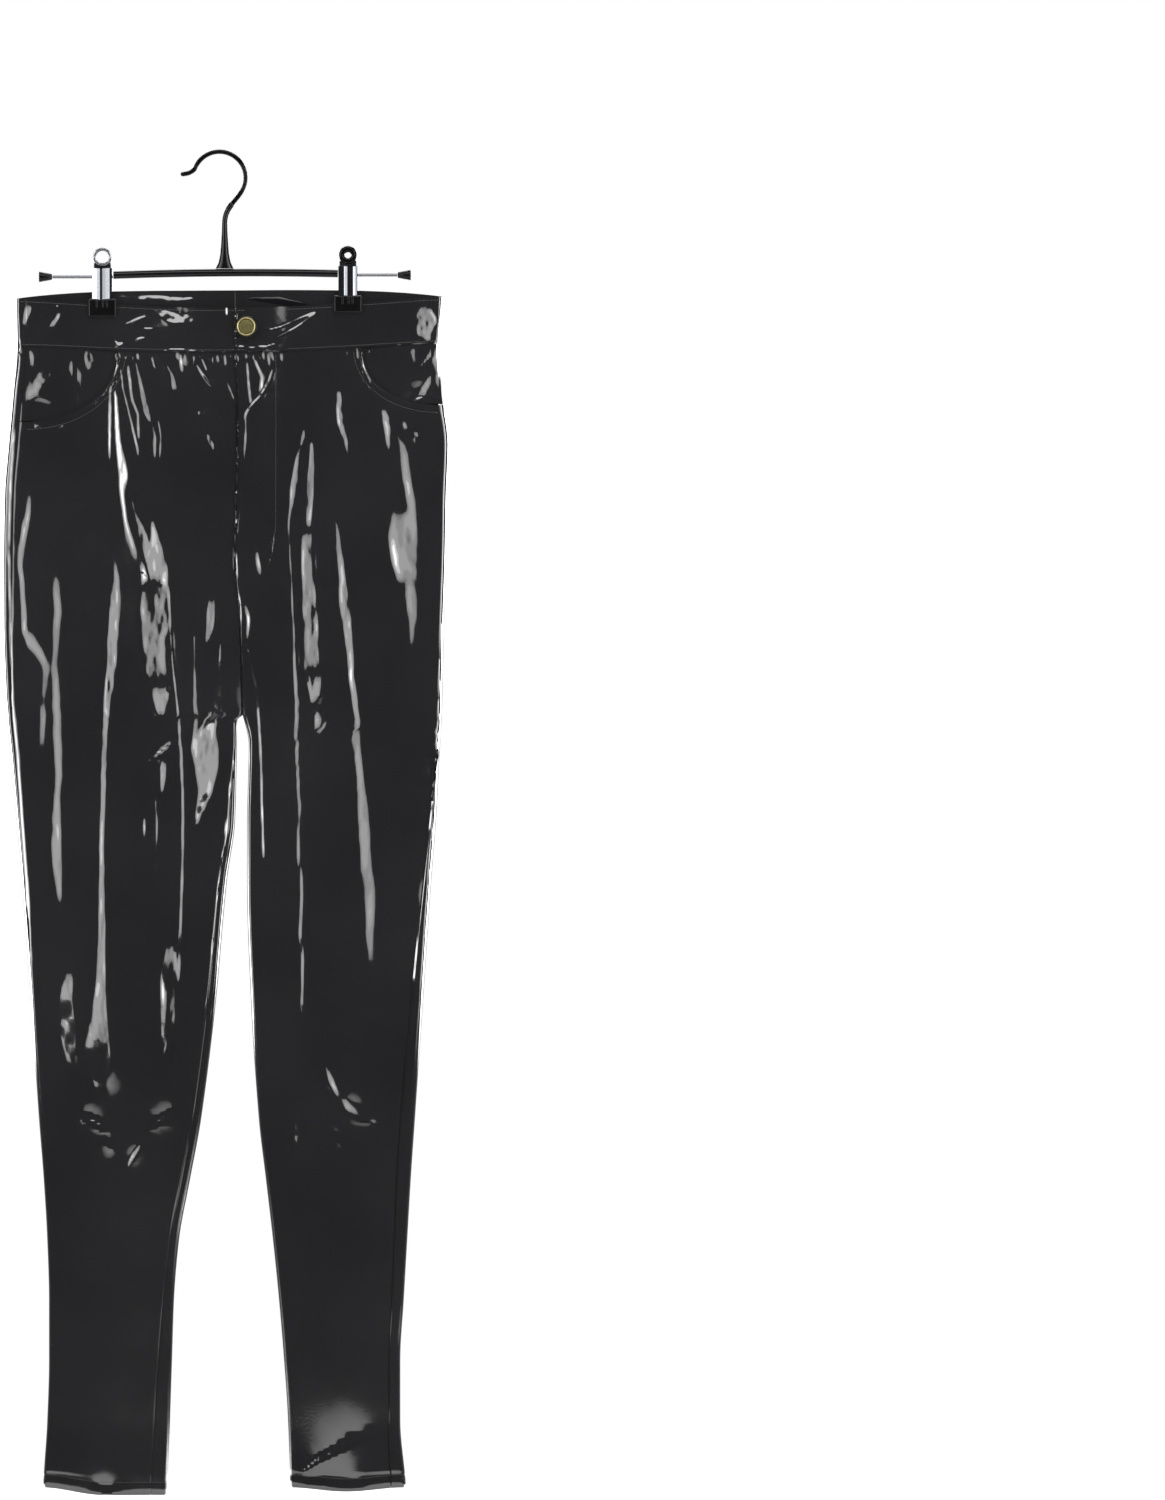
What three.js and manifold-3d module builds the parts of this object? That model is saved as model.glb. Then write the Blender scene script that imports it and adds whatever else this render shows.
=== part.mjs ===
// High-waisted leather trousers hanging from a metal clip hanger.
// Millimetres, +Z up, the front of the trousers faces -Y.
// The origin is the inside top of the hook, where a rail carries the hanger.
// Right and left are the wearer's: the right leg is on the -X side.

import * as THREE from 'three';
import { mergeVertices } from 'three/addons/utils/BufferGeometryUtils.js';
import Module from 'manifold-3d';

// Cloth sizes
const wall = 1.2;               // thickness of the coated cloth
const seamGap = 0.3;            // distance between two pieces at a seam
const foldRadius = 1.7;         // outer radius of the cloth's side fold, pressed flat at the waist
const looseRadius = 4.5;        // and below the waistband, where it hangs loose
const fullness = 0.75;          // 1 gives round sections, less gives flatter ones

// Heights
const forkZ = -481.5;           // where the legs part
const crotchRise = 150;         // height over which the centre seam curves in to the fork
const pocketRowZ = -250;        // rows of the leg panels are level below this height
const hemRowZ = -1105;          // and above this one
const lapEndZ = -348;           // end of the fly's lap
const lapFade = 17;             // height over which the lap runs out below that

// Cross-sections from the waist to the hem: the x of each leg's outer and inner edge, and
// the half depth in front and behind. Above the fork both inner edges are the centre seam.
const sections = [
  { z: -117, outerRight: -174, innerRight: 13.4, innerLeft: 13.4, outerLeft: 190.8, front: 11, back: 11 },
  { z: -163.5, outerRight: -173.5, innerRight: 14, innerLeft: 14, outerLeft: 187.5, front: 14, back: 14 },
  { z: -206.5, outerRight: -177, innerRight: 15.5, innerLeft: 15.5, outerLeft: 191, front: 16, back: 17 },
  { z: -249.5, outerRight: -181, innerRight: 15.5, innerLeft: 15.5, outerLeft: 196.5, front: 18, back: 20 },
  { z: -292, outerRight: -184.5, innerRight: 14.5, innerLeft: 14.5, outerLeft: 195, front: 19, back: 22 },
  { z: -348, outerRight: -185.5, innerRight: 13.5, innerLeft: 13.5, outerLeft: 194, front: 20, back: 23 },
  { z: -399.5, outerRight: -185.5, innerRight: 17.5, innerLeft: 17.5, outerLeft: 192.5, front: 20, back: 23 },
  { z: -463.5, outerRight: -183.5, innerRight: 19.5, innerLeft: 19.5, outerLeft: 191, front: 19, back: 21 },
  { z: -481.5, outerRight: -182, innerRight: 19.8, innerLeft: 19.8, outerLeft: 190.5, front: 18.5, back: 20 },
  { z: -485, outerRight: -181.8, innerRight: 15.3, innerLeft: 21.1, outerLeft: 190.4, front: 18.5, back: 20 },
  { z: -506.5, outerRight: -179.5, innerRight: 15, innerLeft: 25.2, outerLeft: 189, front: 18.5, back: 20 },
  { z: -571, outerRight: -173.5, innerRight: 13.4, innerLeft: 23.8, outerLeft: 185.5, front: 18.5, back: 19.5 },
  { z: -622, outerRight: -169, innerRight:  6.5, innerLeft: 23.7, outerLeft: 181.5, front: 18, back: 19 },
  { z: -725, outerRight: -161.5, innerRight: -2.9, innerLeft: 27.1, outerLeft: 174.5, front: 17.5, back: 17.5 },
  { z: -828, outerRight: -154.5, innerRight: -15.8, innerLeft: 33.9, outerLeft: 167.5, front: 16.5, back: 16.5 },
  { z: -879, outerRight: -150.5, innerRight: -25.2, innerLeft: 39.9, outerLeft: 164, front: 16, back: 16 },
  { z: -930.5, outerRight: -147.5, innerRight: -34.6, innerLeft: 45.9, outerLeft: 161, front: 15, back: 16 },
  { z: -982, outerRight: -146, innerRight: -38.9, innerLeft: 51.1, outerLeft: 158, front: 14.5, back: 15.5 },
  { z: -1033.5, outerRight: -146, innerRight: -40.6, innerLeft: 55.4, outerLeft: 155, front: 14, back: 15 },
  { z: -1085, outerRight: -147.5, innerRight: -42.3, innerLeft: 58.8, outerLeft: 155, front: 14, back: 14.5 },
  { z: -1149, outerRight: -151, innerRight: -44.5, innerLeft: 60.7, outerLeft: 160, front: 15, back: 15 },
];

// How far each seam stands in from its silhouette edge. A seam with a minus sign lies behind.
const seams = [
  { z: -117, outerRight: 8, innerRight: 0, innerLeft: 0, outerLeft: -4 },
  { z: -335, outerRight: 8.5, innerRight: 0, innerLeft: 0, outerLeft: -4 },
  { z: -481.5, outerRight: 5, innerRight: 0, innerLeft: 0, outerLeft: -0.5 },
  { z: -560, outerRight: 3.5, innerRight: 5, innerLeft: -3, outerLeft: 4.5 },
  { z: -690, outerRight: 1.5, innerRight: 6.5, innerLeft: -4, outerLeft: 9 },
  { z: -840, outerRight: 0, innerRight: 7.5, innerLeft: -4, outerLeft: 12.5 },
  { z: -930, outerRight: -2, innerRight: 7.5, innerLeft: -4, outerLeft: 11 },
  { z: -1065, outerRight: -6, innerRight: 12.5, innerLeft: -4, outerLeft: 9.5 },
  { z: -1149, outerRight: -8.5, innerRight: 13.7, innerLeft: -4, outerLeft: 13 },
];

// Waistband edges: height at each side, and how far the middle hangs below it.
const waistTop = { right: -124.0, left: -122.5, frontSag: 8.6, backSag: -6.5 };
const waistSeam = { right: -165.5, left: -162.5, frontSag: 6.4, backSag: -9.5 };
const waistOverlap = 18;        // the right waistband runs this far under the left
const flyOverlap = 7;           // and the right leg panel this far
const lapLift = 1.6;            // the lap lies this far above the cloth under it
const lapBlend = 8;             // width over which the lap comes back down

// Hem height at the outer edge, mid leg and inner edge
const hems = {
  right: { outer: -1142.5, middle: -1149.0, inner: -1149.0 },
  left: { outer: -1142.5, middle: -1146.0, inner: -1142.5 },
};

// Scoop pockets: each mouth is a quarter ellipse from the waist seam to the outer seam.
const pockets = {
  right: { corner: -169.2, width: 82.3, depth: 64.0 },
  left: { corner: 191.6, width: 70.0, depth: 52.5 },
};
const facingUnderlap = 7;       // the facing runs this far behind the mouth
const facingDrop = 2.0;         // and lies this far below the panel there

// The clips press the waist flat at these two places.
const clipPlaces = [
  { name: 'right', x: -100.3, rodZ: -105.3, padTop: -124.3, padBottom: -139.7 },
  { name: 'left', x: 110.2, rodZ: -103.7, padTop: -121.3, padBottom: -136.0 },
];
const pinchWidth = 48;          // reach of a clip's pinch along the waist
const pinchStrength = 1.25;     // above 1 the cloth lies flat for a way either side of the clip
const pinchTop = -142;          // full pinch above this height
const pinchBottom = -330;       // no pinch below this one
const looseZ = -168;            // the side folds are loose below this height

// Largest folds, as soft ridges along a line: both ends, width and height
const frontFolds = [
  { x1: -62, z1: -182, x2: -50, z2: -246, width: 16, height: 1.6 },
  { x1: -78, z1: -290, x2: -56, z2: -395, width: 20, height: 2.4 },
  { x1: -57, z1: -390, x2: -50, z2: -482, width: 30, height: 3.0 },
  { x1: -93, z1: -355, x2: -100, z2: -640, width: 18, height: 2.2 },
  { x1: -100, z1: -640, x2: -106, z2: -800, width: 26, height: 2.2 },
  { x1: -9, z1: -400, x2: -16, z2: -570, width: 24, height: 2.6 },
  { x1: -163, z1: -340, x2: -150, z2: -470, width: 14, height: 2.0 },
  { x1: -44, z1: -680, x2: -42, z2: -770, width: 18, height: 1.8 },
  { x1: 74, z1: -262, x2: 82, z2: -380, width: 18, height: 2.4 },
  { x1: 82, z1: -380, x2: 90, z2: -500, width: 26, height: 3.0 },
  { x1: 66, z1: -500, x2: 70, z2: -800, width: 12, height: 1.8 },
  { x1: 158, z1: -250, x2: 158, z2: -370, width: 22, height: 2.8 },
  { x1: 158, z1: -360, x2: 168, z2: -450, width: 24, height: 2.8 },
  { x1: 108, z1: -205, x2: 116, z2: -480, width: 16, height: 2.0 },
  { x1: 118, z1: -500, x2: 130, z2: -700, width: 20, height: 2.0 },
  { x1: 90, z1: -780, x2: 133, z2: -830, width: 18, height: 2.0 },
  { x1: -110, z1: -822, x2: -60, z2: -860, width: 18, height: 1.8 },
];
const backFolds = [
  { x1: -120, z1: -200, x2: -134, z2: -380, width: 26, height: 3.0 },
  { x1: -70, z1: -190, x2: -60, z2: -420, width: 20, height: 2.4 },
  { x1: -110, z1: -420, x2: -104, z2: -640, width: 24, height: 2.6 },
  { x1: -36, z1: -420, x2: -40, z2: -600, width: 22, height: 2.2 },
  { x1: -80, z1: -700, x2: -84, z2: -860, width: 22, height: 2.0 },
  { x1: 70, z1: -230, x2: 62, z2: -370, width: 26, height: 3.0 },
  { x1: 124, z1: -200, x2: 138, z2: -420, width: 24, height: 2.6 },
  { x1: 84, z1: -400, x2: 96, z2: -520, width: 28, height: 3.0 },
  { x1: 120, z1: -520, x2: 118, z2: -720, width: 22, height: 2.2 },
  { x1: 96, z1: -760, x2: 100, z2: -900, width: 20, height: 2.0 },
];

// Grid of the cloth pieces
const frontColumns = 8;         // columns between the pocket mouth and the centre
const backColumns = 15;
const mouthAngles = [0, 8, 20, 38, 54, 68, 80, 90];
const edgeColumns = 3;          // columns round the side fold, before the first of those angles
const topRows = 5;
const bodyRows = [-275, -305, -335, -365, -395, -425, -450, -468, -481.5, -485, -506.5, -538,
  -571, -604, -637, -670, -705, -740, -775, -810, -845, -880, -915, -950, -985, -1025, -1065];
const waistRows = 3;
const facingRows = 6;

// Hanger sizes
const hook = { wire: 2.0, bend: 22.4, centreZ: -20.4, neckX: 4.5 };
const hookTip = [[-33.2, -17.6], [-27.0, -16.6]];                        // x and z of the tip's line
const hookSweep = [[16.0, -40.5], [hook.neckX, -44.0], [hook.neckX, -60.0]];   // curve down to the neck
const neckRings = [
  { x: 4.5, z: -72.0, wide: 3.0, deep: 2.8 },
  { x: 4.5, z: -86.0, wide: 4.0, deep: 3.0 },
  { x: 4.5, z: -93.0, wide: 5.4, deep: 3.2 },
  { x: 4.5, z: -98.1, wide: 8.0, deep: 3.3 },
];
const bar = { right: -90.8, left: 101.6, rightZ: -103.8, middleZ: -101.7, leftZ: -102.5, radius: 3.3 };
const rod = { radius: 1.35, right: -143.0, left: 152.4 };
const endCap = { length: 11.5, inner: 2.4, outer: 4.6 };
const clip = { width: 16.8, plate: 1.2, bodyTop: 9.0, ringRise: 17.0, ringRadius: 8.0, ringHole: 5.0,
  lean: 0.135, barrel: 4.5, barrelLength: 14.0 };
const pad = { width: 24.0, thickness: 4.0 };
const button = { x: 23.2, z: -148.0, radius: 9.0, height: 2.6, dish: 6.6, recess: 0.9, hole: 0.9,
  holePitch: 5.2, turned: 16, stand: 0.5 };

const leather = () => new THREE.MeshStandardMaterial({ color: 0x1b1b1c, roughness: 0.16, metalness: 0 });
const chrome = () => new THREE.MeshStandardMaterial({ color: 0xd8d9da, roughness: 0.12, metalness: 1 });
const dipped = () => new THREE.MeshStandardMaterial({ color: 0x121214, roughness: 0.3, metalness: 0 });
const rubber = () => new THREE.MeshStandardMaterial({ color: 0x161616, roughness: 0.5, metalness: 0 });
const brass = () => new THREE.MeshStandardMaterial({ color: 0x9b8f63, roughness: 0.35, metalness: 1 });

const group = new THREE.Group();

function addMesh(name, geometry, material) {
  const mesh = new THREE.Mesh(geometry, material);
  mesh.name = name;
  group.add(mesh);
  return mesh;
}

// 0 below low, 1 above high, smooth between
function smooth(value, low, high) {
  return THREE.MathUtils.smoothstep(value, low, high);
}

function lerp(a, b, t) {
  return a + (b - a) * t;
}

// Cubic through a table's column with no overshoot. The rows run downwards in z.
function sample(table, key, z) {
  const last = table.length - 1;
  if (z >= table[0].z) return table[0][key];
  if (z <= table[last].z) return table[last][key];
  let row = 0;
  while (z < table[row + 1].z) row += 1;
  const slope = (i) => (table[i + 1][key] - table[i][key]) / (table[i + 1].z - table[i].z);
  const tangent = (i) => {
    if (i === 0 || i === last) return 0;
    const before = slope(i - 1);
    const after = slope(i);
    return before * after <= 0 ? 0 : 2 * before * after / (before + after);
  };
  const step = table[row + 1].z - table[row].z;
  const t = (z - table[row].z) / step;
  const rest = 1 - t;
  return table[row][key] * (1 + 2 * t) * rest * rest
    + table[row + 1][key] * (3 - 2 * t) * t * t
    + step * (tangent(row) * t * rest * rest - tangent(row + 1) * rest * t * t);
}

const outerKey = { right: 'outerRight', left: 'outerLeft' };
const innerKey = { right: 'innerRight', left: 'innerLeft' };
const facing = { right: 1, left: -1 };    // from the outer edge inwards

// The ring runs once round a leg as s goes by 2: 0 is the outer edge, 1 the inner edge,
// 0 to 1 the front and -1 to 0 the back.
function ringX(side, s, z) {
  const outer = sample(sections, outerKey[side], z);
  const inner = sample(sections, innerKey[side], z);
  return lerp(outer, inner, (1 - Math.cos(Math.PI * s)) / 2);
}

// Ring value of a seam that stands in from the outer or inner edge
function seamRing(side, edge, z) {
  const width = Math.abs(sample(sections, innerKey[side], z) - sample(sections, outerKey[side], z));
  const inset = sample(seams, (edge === 'outer' ? outerKey : innerKey)[side], z);
  const turn = Math.sign(inset) * Math.acos(1 - 2 * Math.abs(inset) / width) / Math.PI;
  return edge === 'outer' ? turn : 1 - turn;
}

function ringFromX(side, x, z) {
  const outer = sample(sections, outerKey[side], z);
  const inner = sample(sections, innerKey[side], z);
  const t = THREE.MathUtils.clamp((x - outer) / (inner - outer), 0, 1);
  return Math.acos(1 - 2 * t) / Math.PI;
}

// Share of the full half depth, t across the leg from its outer to its inner edge. The legs
// close at their inner edges, and the centre seams curve in to the fork above them.
function depthShare(t, z) {
  const rise = Math.max(0, z - forkZ) / crotchRise;
  const fromFork = Math.min(1, Math.hypot(1 - t, rise));
  return (Math.sqrt(t * (2 - t)) * Math.sqrt(fromFork * (2 - fromFork))) ** fullness;
}

function pinch(x, z) {
  const strength = smooth(z, pinchBottom, pinchTop);
  const near = (place) => pinchStrength * Math.exp(-(((x - place.x) / pinchWidth) ** 2));
  return 1 - strength * Math.min(1, clipPlaces.reduce((sum, place) => sum + near(place), 0));
}

function foldHeight(folds, x, z) {
  let height = 0;
  for (const fold of folds) {
    const dx = fold.x2 - fold.x1;
    const dz = fold.z2 - fold.z1;
    const length = Math.hypot(dx, dz);
    const along = ((x - fold.x1) * dx + (z - fold.z1) * dz) / (length * length);
    const off = ((x - fold.x1) * dz - (z - fold.z1) * dx) / length;
    const fade = smooth(along, -0.12, 0.25) * (1 - smooth(along, 0.75, 1.12));
    height += fold.height * fade * Math.exp(-((off / (fold.width / 2)) ** 2));
  }
  return height;
}

// Point on the outer face of the cloth. extra runs past the centre seam, for what laps there.
function facePoint(side, s, z, extra = 0) {
  const outer = sample(sections, outerKey[side], z);
  const inner = sample(sections, innerKey[side], z);
  const t = (1 - Math.cos(Math.PI * s)) / 2;
  const x = lerp(outer, inner, t) + extra * facing[side];
  const front = Math.sin(Math.PI * s) >= 0;
  const fromOuter = Math.abs(lerp(outer, inner, t) - outer);
  const fromInner = z < forkZ + crotchRise ? Math.abs(inner - outer) - fromOuter : Infinity;
  const fromEdge = Math.min(fromOuter, fromInner);
  const radius = lerp(looseRadius, foldRadius, smooth(z, looseZ, pinchTop));
  const turned = Math.min(fromEdge, radius);
  const least = Math.sqrt(radius ** 2 - (radius - turned) ** 2);
  const half = sample(sections, front ? 'front' : 'back', z) * depthShare(t, z) * pinch(x, z);
  const ridge = foldHeight(front ? frontFolds : backFolds, x, z) * smooth(fromEdge, 1, 18);
  const y = Math.max(half, least) + ridge * smooth(half, foldRadius, foldRadius + 5);
  return new THREE.Vector3(x, front ? -y : y, z);
}

// Outward direction of the cloth at a point
function faceNormal(side, s, z, atCentre) {
  const ds = atCentre ? 0.06 : 0.02;
  const forward = atCentre ? Math.sign(s) * (1 - ds) : s + ds;
  const backward = s - ds;
  const alongS = atCentre
    ? facePoint(side, s, z).sub(facePoint(side, forward, z)).multiplyScalar(Math.sign(s))
    : facePoint(side, forward, z).sub(facePoint(side, backward, z));
  const alongZ = facePoint(side, s, z + 2).sub(facePoint(side, s, z - 2));
  return alongS.cross(alongZ).multiplyScalar(facing[side]).normalize();
}

// A closed wall through a grid. Each cell of the grid gives { outer, inner } points.
function wallGeometry(grid, flip) {
  const rows = grid.length;
  const columns = grid[0].length;
  const positions = [];
  const index = [];
  for (const layer of ['outer', 'inner']) {
    for (const row of grid) {
      for (const cell of row) positions.push(cell[layer].x, cell[layer].y, cell[layer].z);
    }
  }
  const at = (layer, row, column) => (layer * rows + row) * columns + column;
  const quad = (a, b, c, d) => {
    if (flip) index.push(a, c, b, a, d, c);
    else index.push(a, b, c, a, c, d);
  };
  for (let row = 0; row < rows - 1; row += 1) {
    for (let column = 0; column < columns - 1; column += 1) {
      quad(at(0, row, column), at(0, row + 1, column), at(0, row + 1, column + 1), at(0, row, column + 1));
      quad(at(1, row, column), at(1, row, column + 1), at(1, row + 1, column + 1), at(1, row + 1, column));
    }
    const end = columns - 1;
    quad(at(0, row, 0), at(1, row, 0), at(1, row + 1, 0), at(0, row + 1, 0));
    quad(at(0, row, end), at(0, row + 1, end), at(1, row + 1, end), at(1, row, end));
  }
  for (let column = 0; column < columns - 1; column += 1) {
    const end = rows - 1;
    quad(at(0, 0, column), at(0, 0, column + 1), at(1, 0, column + 1), at(1, 0, column));
    quad(at(0, end, column), at(1, end, column), at(1, end, column + 1), at(0, end, column + 1));
  }
  const geometry = new THREE.BufferGeometry();
  geometry.setAttribute('position', new THREE.Float32BufferAttribute(positions, 3));
  geometry.setIndex(index);
  geometry.computeVertexNormals();
  return geometry;
}

// One cell of a wall: the face point, lifted, moved off its seam, and the point inside it
function clothCell({ side, s, z, lift = 0, shift = 0, extra = 0 }) {
  const atCentre = z > forkZ - 0.01 && Math.abs(Math.abs(s) - 1) < 1e-6;
  const outer = facePoint(side, s, z, extra);
  const normal = faceNormal(side, s, z, atCentre);
  if (atCentre) {
    outer.x += shift * facing[side];
  } else {
    const along = facePoint(side, s + 0.02, z).sub(facePoint(side, s - 0.02, z)).normalize();
    outer.addScaledVector(along, shift);
  }
  outer.addScaledVector(normal, lift);
  const inner = outer.clone().addScaledVector(normal, -wall);
  const turn = Math.sin(Math.PI * s);
  const clear = seamGap / 2;
  if (atCentre || Math.abs(turn) > 1e-6) {
    const front = atCentre ? s > 0 : turn > 0;
    for (const point of [outer, inner]) {
      point.y = front ? Math.min(point.y, -clear) : Math.max(point.y, clear);
    }
  }
  return { outer, inner };
}

// Height of a waist edge at x: the sides stand higher than the middle of the front
function waistEdge(edge, x, front) {
  const right = sections[0].outerRight;
  const left = sections[0].outerLeft;
  const t = THREE.MathUtils.clamp((x - right) / (left - right), 0, 1);
  const u = 2 * t - 1;
  const sag = front ? edge.frontSag * (1 - u * u) ** 1.5 : edge.backSag * (1 - u ** 4);
  return lerp(edge.right, edge.left, t) - sag;
}

function isFront(s) {
  return Math.sin(Math.PI * s) > 0 || Math.abs(s - 1) < 1e-6;
}

function mouthZ(side, x, grow = 0) {
  const { corner, width, depth } = pockets[side];
  const t = Math.min(1, Math.abs(x - corner) / (width + grow));
  return waistEdge(waistSeam, x, true) - (depth + grow) * Math.sqrt(Math.max(0, 1 - t * t));
}

function hemZ(side, s) {
  const { outer, middle, inner } = hems[side];
  const t = (1 - Math.cos(Math.PI * s)) / 2;
  return t < 0.5 ? lerp(outer, middle, smooth(t, 0, 0.5)) : lerp(middle, inner, smooth(t, 0.5, 1));
}

// The lap: 1 down to its end, then 0
function lapShare(z) {
  return smooth(z, lapEndZ - lapFade, lapEndZ);
}

function lapLiftAt(side, x, z, overlap) {
  if (side === 'right') return 0;
  const seam = sample(sections, 'innerLeft', z);
  const strength = smooth(z, lapEndZ - lapFade - 32, lapEndZ - lapFade - 3);
  return lapLift * strength * (1 - smooth(x - seam, overlap + 1, overlap + 1 + lapBlend));
}

// Rows of a leg panel: from the top edge to level rows, and from these to the hem
function panelHeights(top, hem) {
  const heights = [];
  for (let row = 0; row < topRows; row += 1) heights.push(lerp(top, pocketRowZ, row / topRows));
  heights.push(pocketRowZ, ...bodyRows, hemRowZ, hem);
  return heights;
}

// Front leg panel: outer seam to centre seam and inseam, scooped for the pocket
function frontPanel(side) {
  const pocket = pockets[side];
  const seamZ = waistEdge(waistSeam, pocket.corner, true);
  const start = seamRing(side, 'outer', seamZ);
  const shares = mouthAngles.map((angle) => {
    const x = pocket.corner + facing[side] * pocket.width * Math.sin(THREE.MathUtils.degToRad(angle));
    return (Math.max(start, ringFromX(side, x, seamZ)) - start) / (1 - start);
  });
  const first = shares[1];
  shares.splice(0, 1, ...Array.from({ length: edgeColumns }, (_, column) => first * column / edgeColumns));
  const mouthEnd = shares[shares.length - 1];
  const mouthColumns = shares.length - 1;
  for (let column = 1; column <= frontColumns; column += 1) {
    shares.push(lerp(mouthEnd, 1, column / frontColumns));
  }
  const last = shares.length - 1;
  const cells = shares.map((share, column) => {
    const levelRing = (z) => lerp(seamRing(side, 'outer', z), seamRing(side, 'inner', z), share);
    const edgeZ = (x) => (column < mouthColumns ? mouthZ(side, x) : waistEdge(waistSeam, x, true));
    let top = edgeZ(ringX(side, levelRing(seamZ), seamZ));
    for (let pass = 0; pass < 3; pass += 1) top = edgeZ(ringX(side, levelRing(top), top));
    top -= seamGap / 2;
    return panelHeights(top, hemZ(side, levelRing(hemRowZ))).map((z) => {
      const s = levelRing(z);
      let shift = column === 0 ? seamGap / 2 : 0;
      let extra = 0;
      if (column === last) shift = -seamGap / 2;
      if (side === 'right' && column === last) extra = flyOverlap * lapShare(z);
      if (side === 'right' && column === last - 1) extra = 0.3 * flyOverlap * lapShare(z);
      const lift = lapLiftAt(side, ringX(side, s, z), z, flyOverlap);
      return clothCell({ side, s, z, lift, shift, extra });
    });
  });
  const grid = cells[0].map((_, row) => cells.map((column) => column[row]));
  addMesh(`front_${side}`, wallGeometry(grid, side === 'left'), leather());
}

// Back leg panel: from the outer seam round the outer edge to the centre seam and inseam
function backPanel(side) {
  const cells = [];
  for (let column = 0; column <= backColumns; column += 1) {
    const share = column / backColumns;
    const levelRing = (z) => lerp(seamRing(side, 'outer', z), seamRing(side, 'inner', z) - 2, share);
    const seamZ = waistSeam.right;
    const s = levelRing(seamZ);
    const top = waistEdge(waistSeam, ringX(side, s, seamZ), isFront(s)) - seamGap / 2;
    cells.push(panelHeights(top, hemZ(side, levelRing(hemRowZ))).map((z) => {
      let shift = column === 0 ? -seamGap / 2 : 0;
      if (column === backColumns) shift = seamGap / 2;
      if (column === backColumns && z > forkZ - 0.01) shift = -seamGap / 2;
      return clothCell({ side, s: levelRing(z), z, shift });
    }));
  }
  const grid = cells[0].map((_, row) => cells.map((column) => column[row]));
  addMesh(`back_${side}`, wallGeometry(grid, side === 'right'), leather());
}

// Pocket facing: fills the scoop and runs on behind the mouth, a little deeper there
function pocketFacing(side) {
  const pocket = pockets[side];
  const reach = pocket.width + facingUnderlap - 1;
  const firstX = pocket.corner + facing[side] * reach * Math.sin(THREE.MathUtils.degToRad(mouthAngles[1]));
  const edges = Array.from({ length: edgeColumns }, (_, column) => (
    { angle: mouthAngles[1], share: column / edgeColumns }));
  const columns = [...edges, ...mouthAngles.slice(1).map((angle) => ({ angle, share: 1 }))];
  const cells = columns.map(({ angle, share }, column) => {
    const across = reach * Math.sin(THREE.MathUtils.degToRad(angle)) * share;
    const x = pocket.corner + facing[side] * across;
    const top = waistEdge(waistSeam, x, true) - seamGap / 2;
    const under = lerp(-2 * seamGap, facingUnderlap, smooth(across, 12, 30));
    const bottom = Math.min(top - 12, mouthZ(side, x, under));
    const cellColumn = [];
    for (let row = 0; row <= facingRows; row += 1) {
      const z = lerp(top, bottom, row / facingRows);
      const s = lerp(seamRing(side, 'outer', z), ringFromX(side, share < 1 ? firstX : x, z), share);
      const radius = Math.hypot(across / pocket.width, (top - z) / pocket.depth);
      const lift = -facingDrop * smooth(radius, 0.6, 0.84) * smooth(across, 1, 11);
      cellColumn.push(clothCell({ side, s, z, lift, shift: column === 0 ? seamGap / 2 : 0 }));
    }
    return cellColumn;
  });
  const grid = cells[0].map((_, row) => cells.map((column) => column[row]));
  addMesh(`pocket_facing_${side}`, wallGeometry(grid, side === 'left'), leather());
}

// A stretch of waistband through a list of { side, s, lift, shift, extra } columns
function waistband(name, columns, flip) {
  const grid = [];
  for (let row = 0; row <= waistRows; row += 1) {
    grid.push(columns.map(({ side, share, lift = 0, shift = 0, extra = 0 }) => {
      const levelZ = waistSeam.right;
      const levelS = lerp(seamRing(side, 'outer', levelZ), share.end, share.along);
      const x = ringX(side, levelS, levelZ) + extra * facing[side];
      const top = waistEdge(waistTop, x, isFront(levelS));
      const bottom = waistEdge(waistSeam, x, isFront(levelS)) + seamGap / 2;
      const z = lerp(top, bottom, row / waistRows);
      const s = lerp(seamRing(side, 'outer', z), share.end, share.along);
      return clothCell({ side, s, z, lift: lift * lapLift, shift, extra });
    }));
  }
  addMesh(name, wallGeometry(grid, flip), leather());
}

function frontWaistbands() {
  const steps = 11;
  for (const side of ['right', 'left']) {
    const start = seamRing(side, 'outer', waistSeam.right);
    const centre = sections[1].innerLeft;
    const lapEdges = [waistOverlap + 1 + lapBlend, waistOverlap + 1, waistOverlap / 2];
    const lapShares = lapEdges.map((across) => {
      const ring = ringFromX(side, centre - facing[side] * across, waistSeam.right);
      return (ring - start) / (1 - start);
    });
    const even = Array.from({ length: steps }, (_, step) => lapShares[0] * step / steps);
    const columns = [...even, ...lapShares, 1].map((along, column) => {
      const fromSeam = Math.abs(ringX(side, lerp(start, 1, along), waistSeam.right) - centre);
      const raised = 1 - smooth(fromSeam, waistOverlap + 1, waistOverlap + 1 + lapBlend);
      return { side, share: { end: 1, along }, lift: side === 'left' ? raised : 0,
        shift: column === 0 ? seamGap / 2 : 0 };
    });
    if (side === 'right') {
      for (const extra of [waistOverlap / 2, waistOverlap]) {
        columns.push({ side, share: { end: 1, along: 1 }, extra });
      }
    }
    waistband(`waistband_front_${side}`, columns, side === 'left');
  }
}

function backWaistband() {
  const steps = 14;
  const half = (side) => Array.from({ length: steps + 1 }, (_, step) => ({
    side, share: { end: -1, along: step / steps }, shift: step === 0 ? -seamGap / 2 : 0 }));
  const columns = [...half('right'), ...half('left').reverse().slice(1)];
  waistband('waistband_back', columns, true);
}

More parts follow.
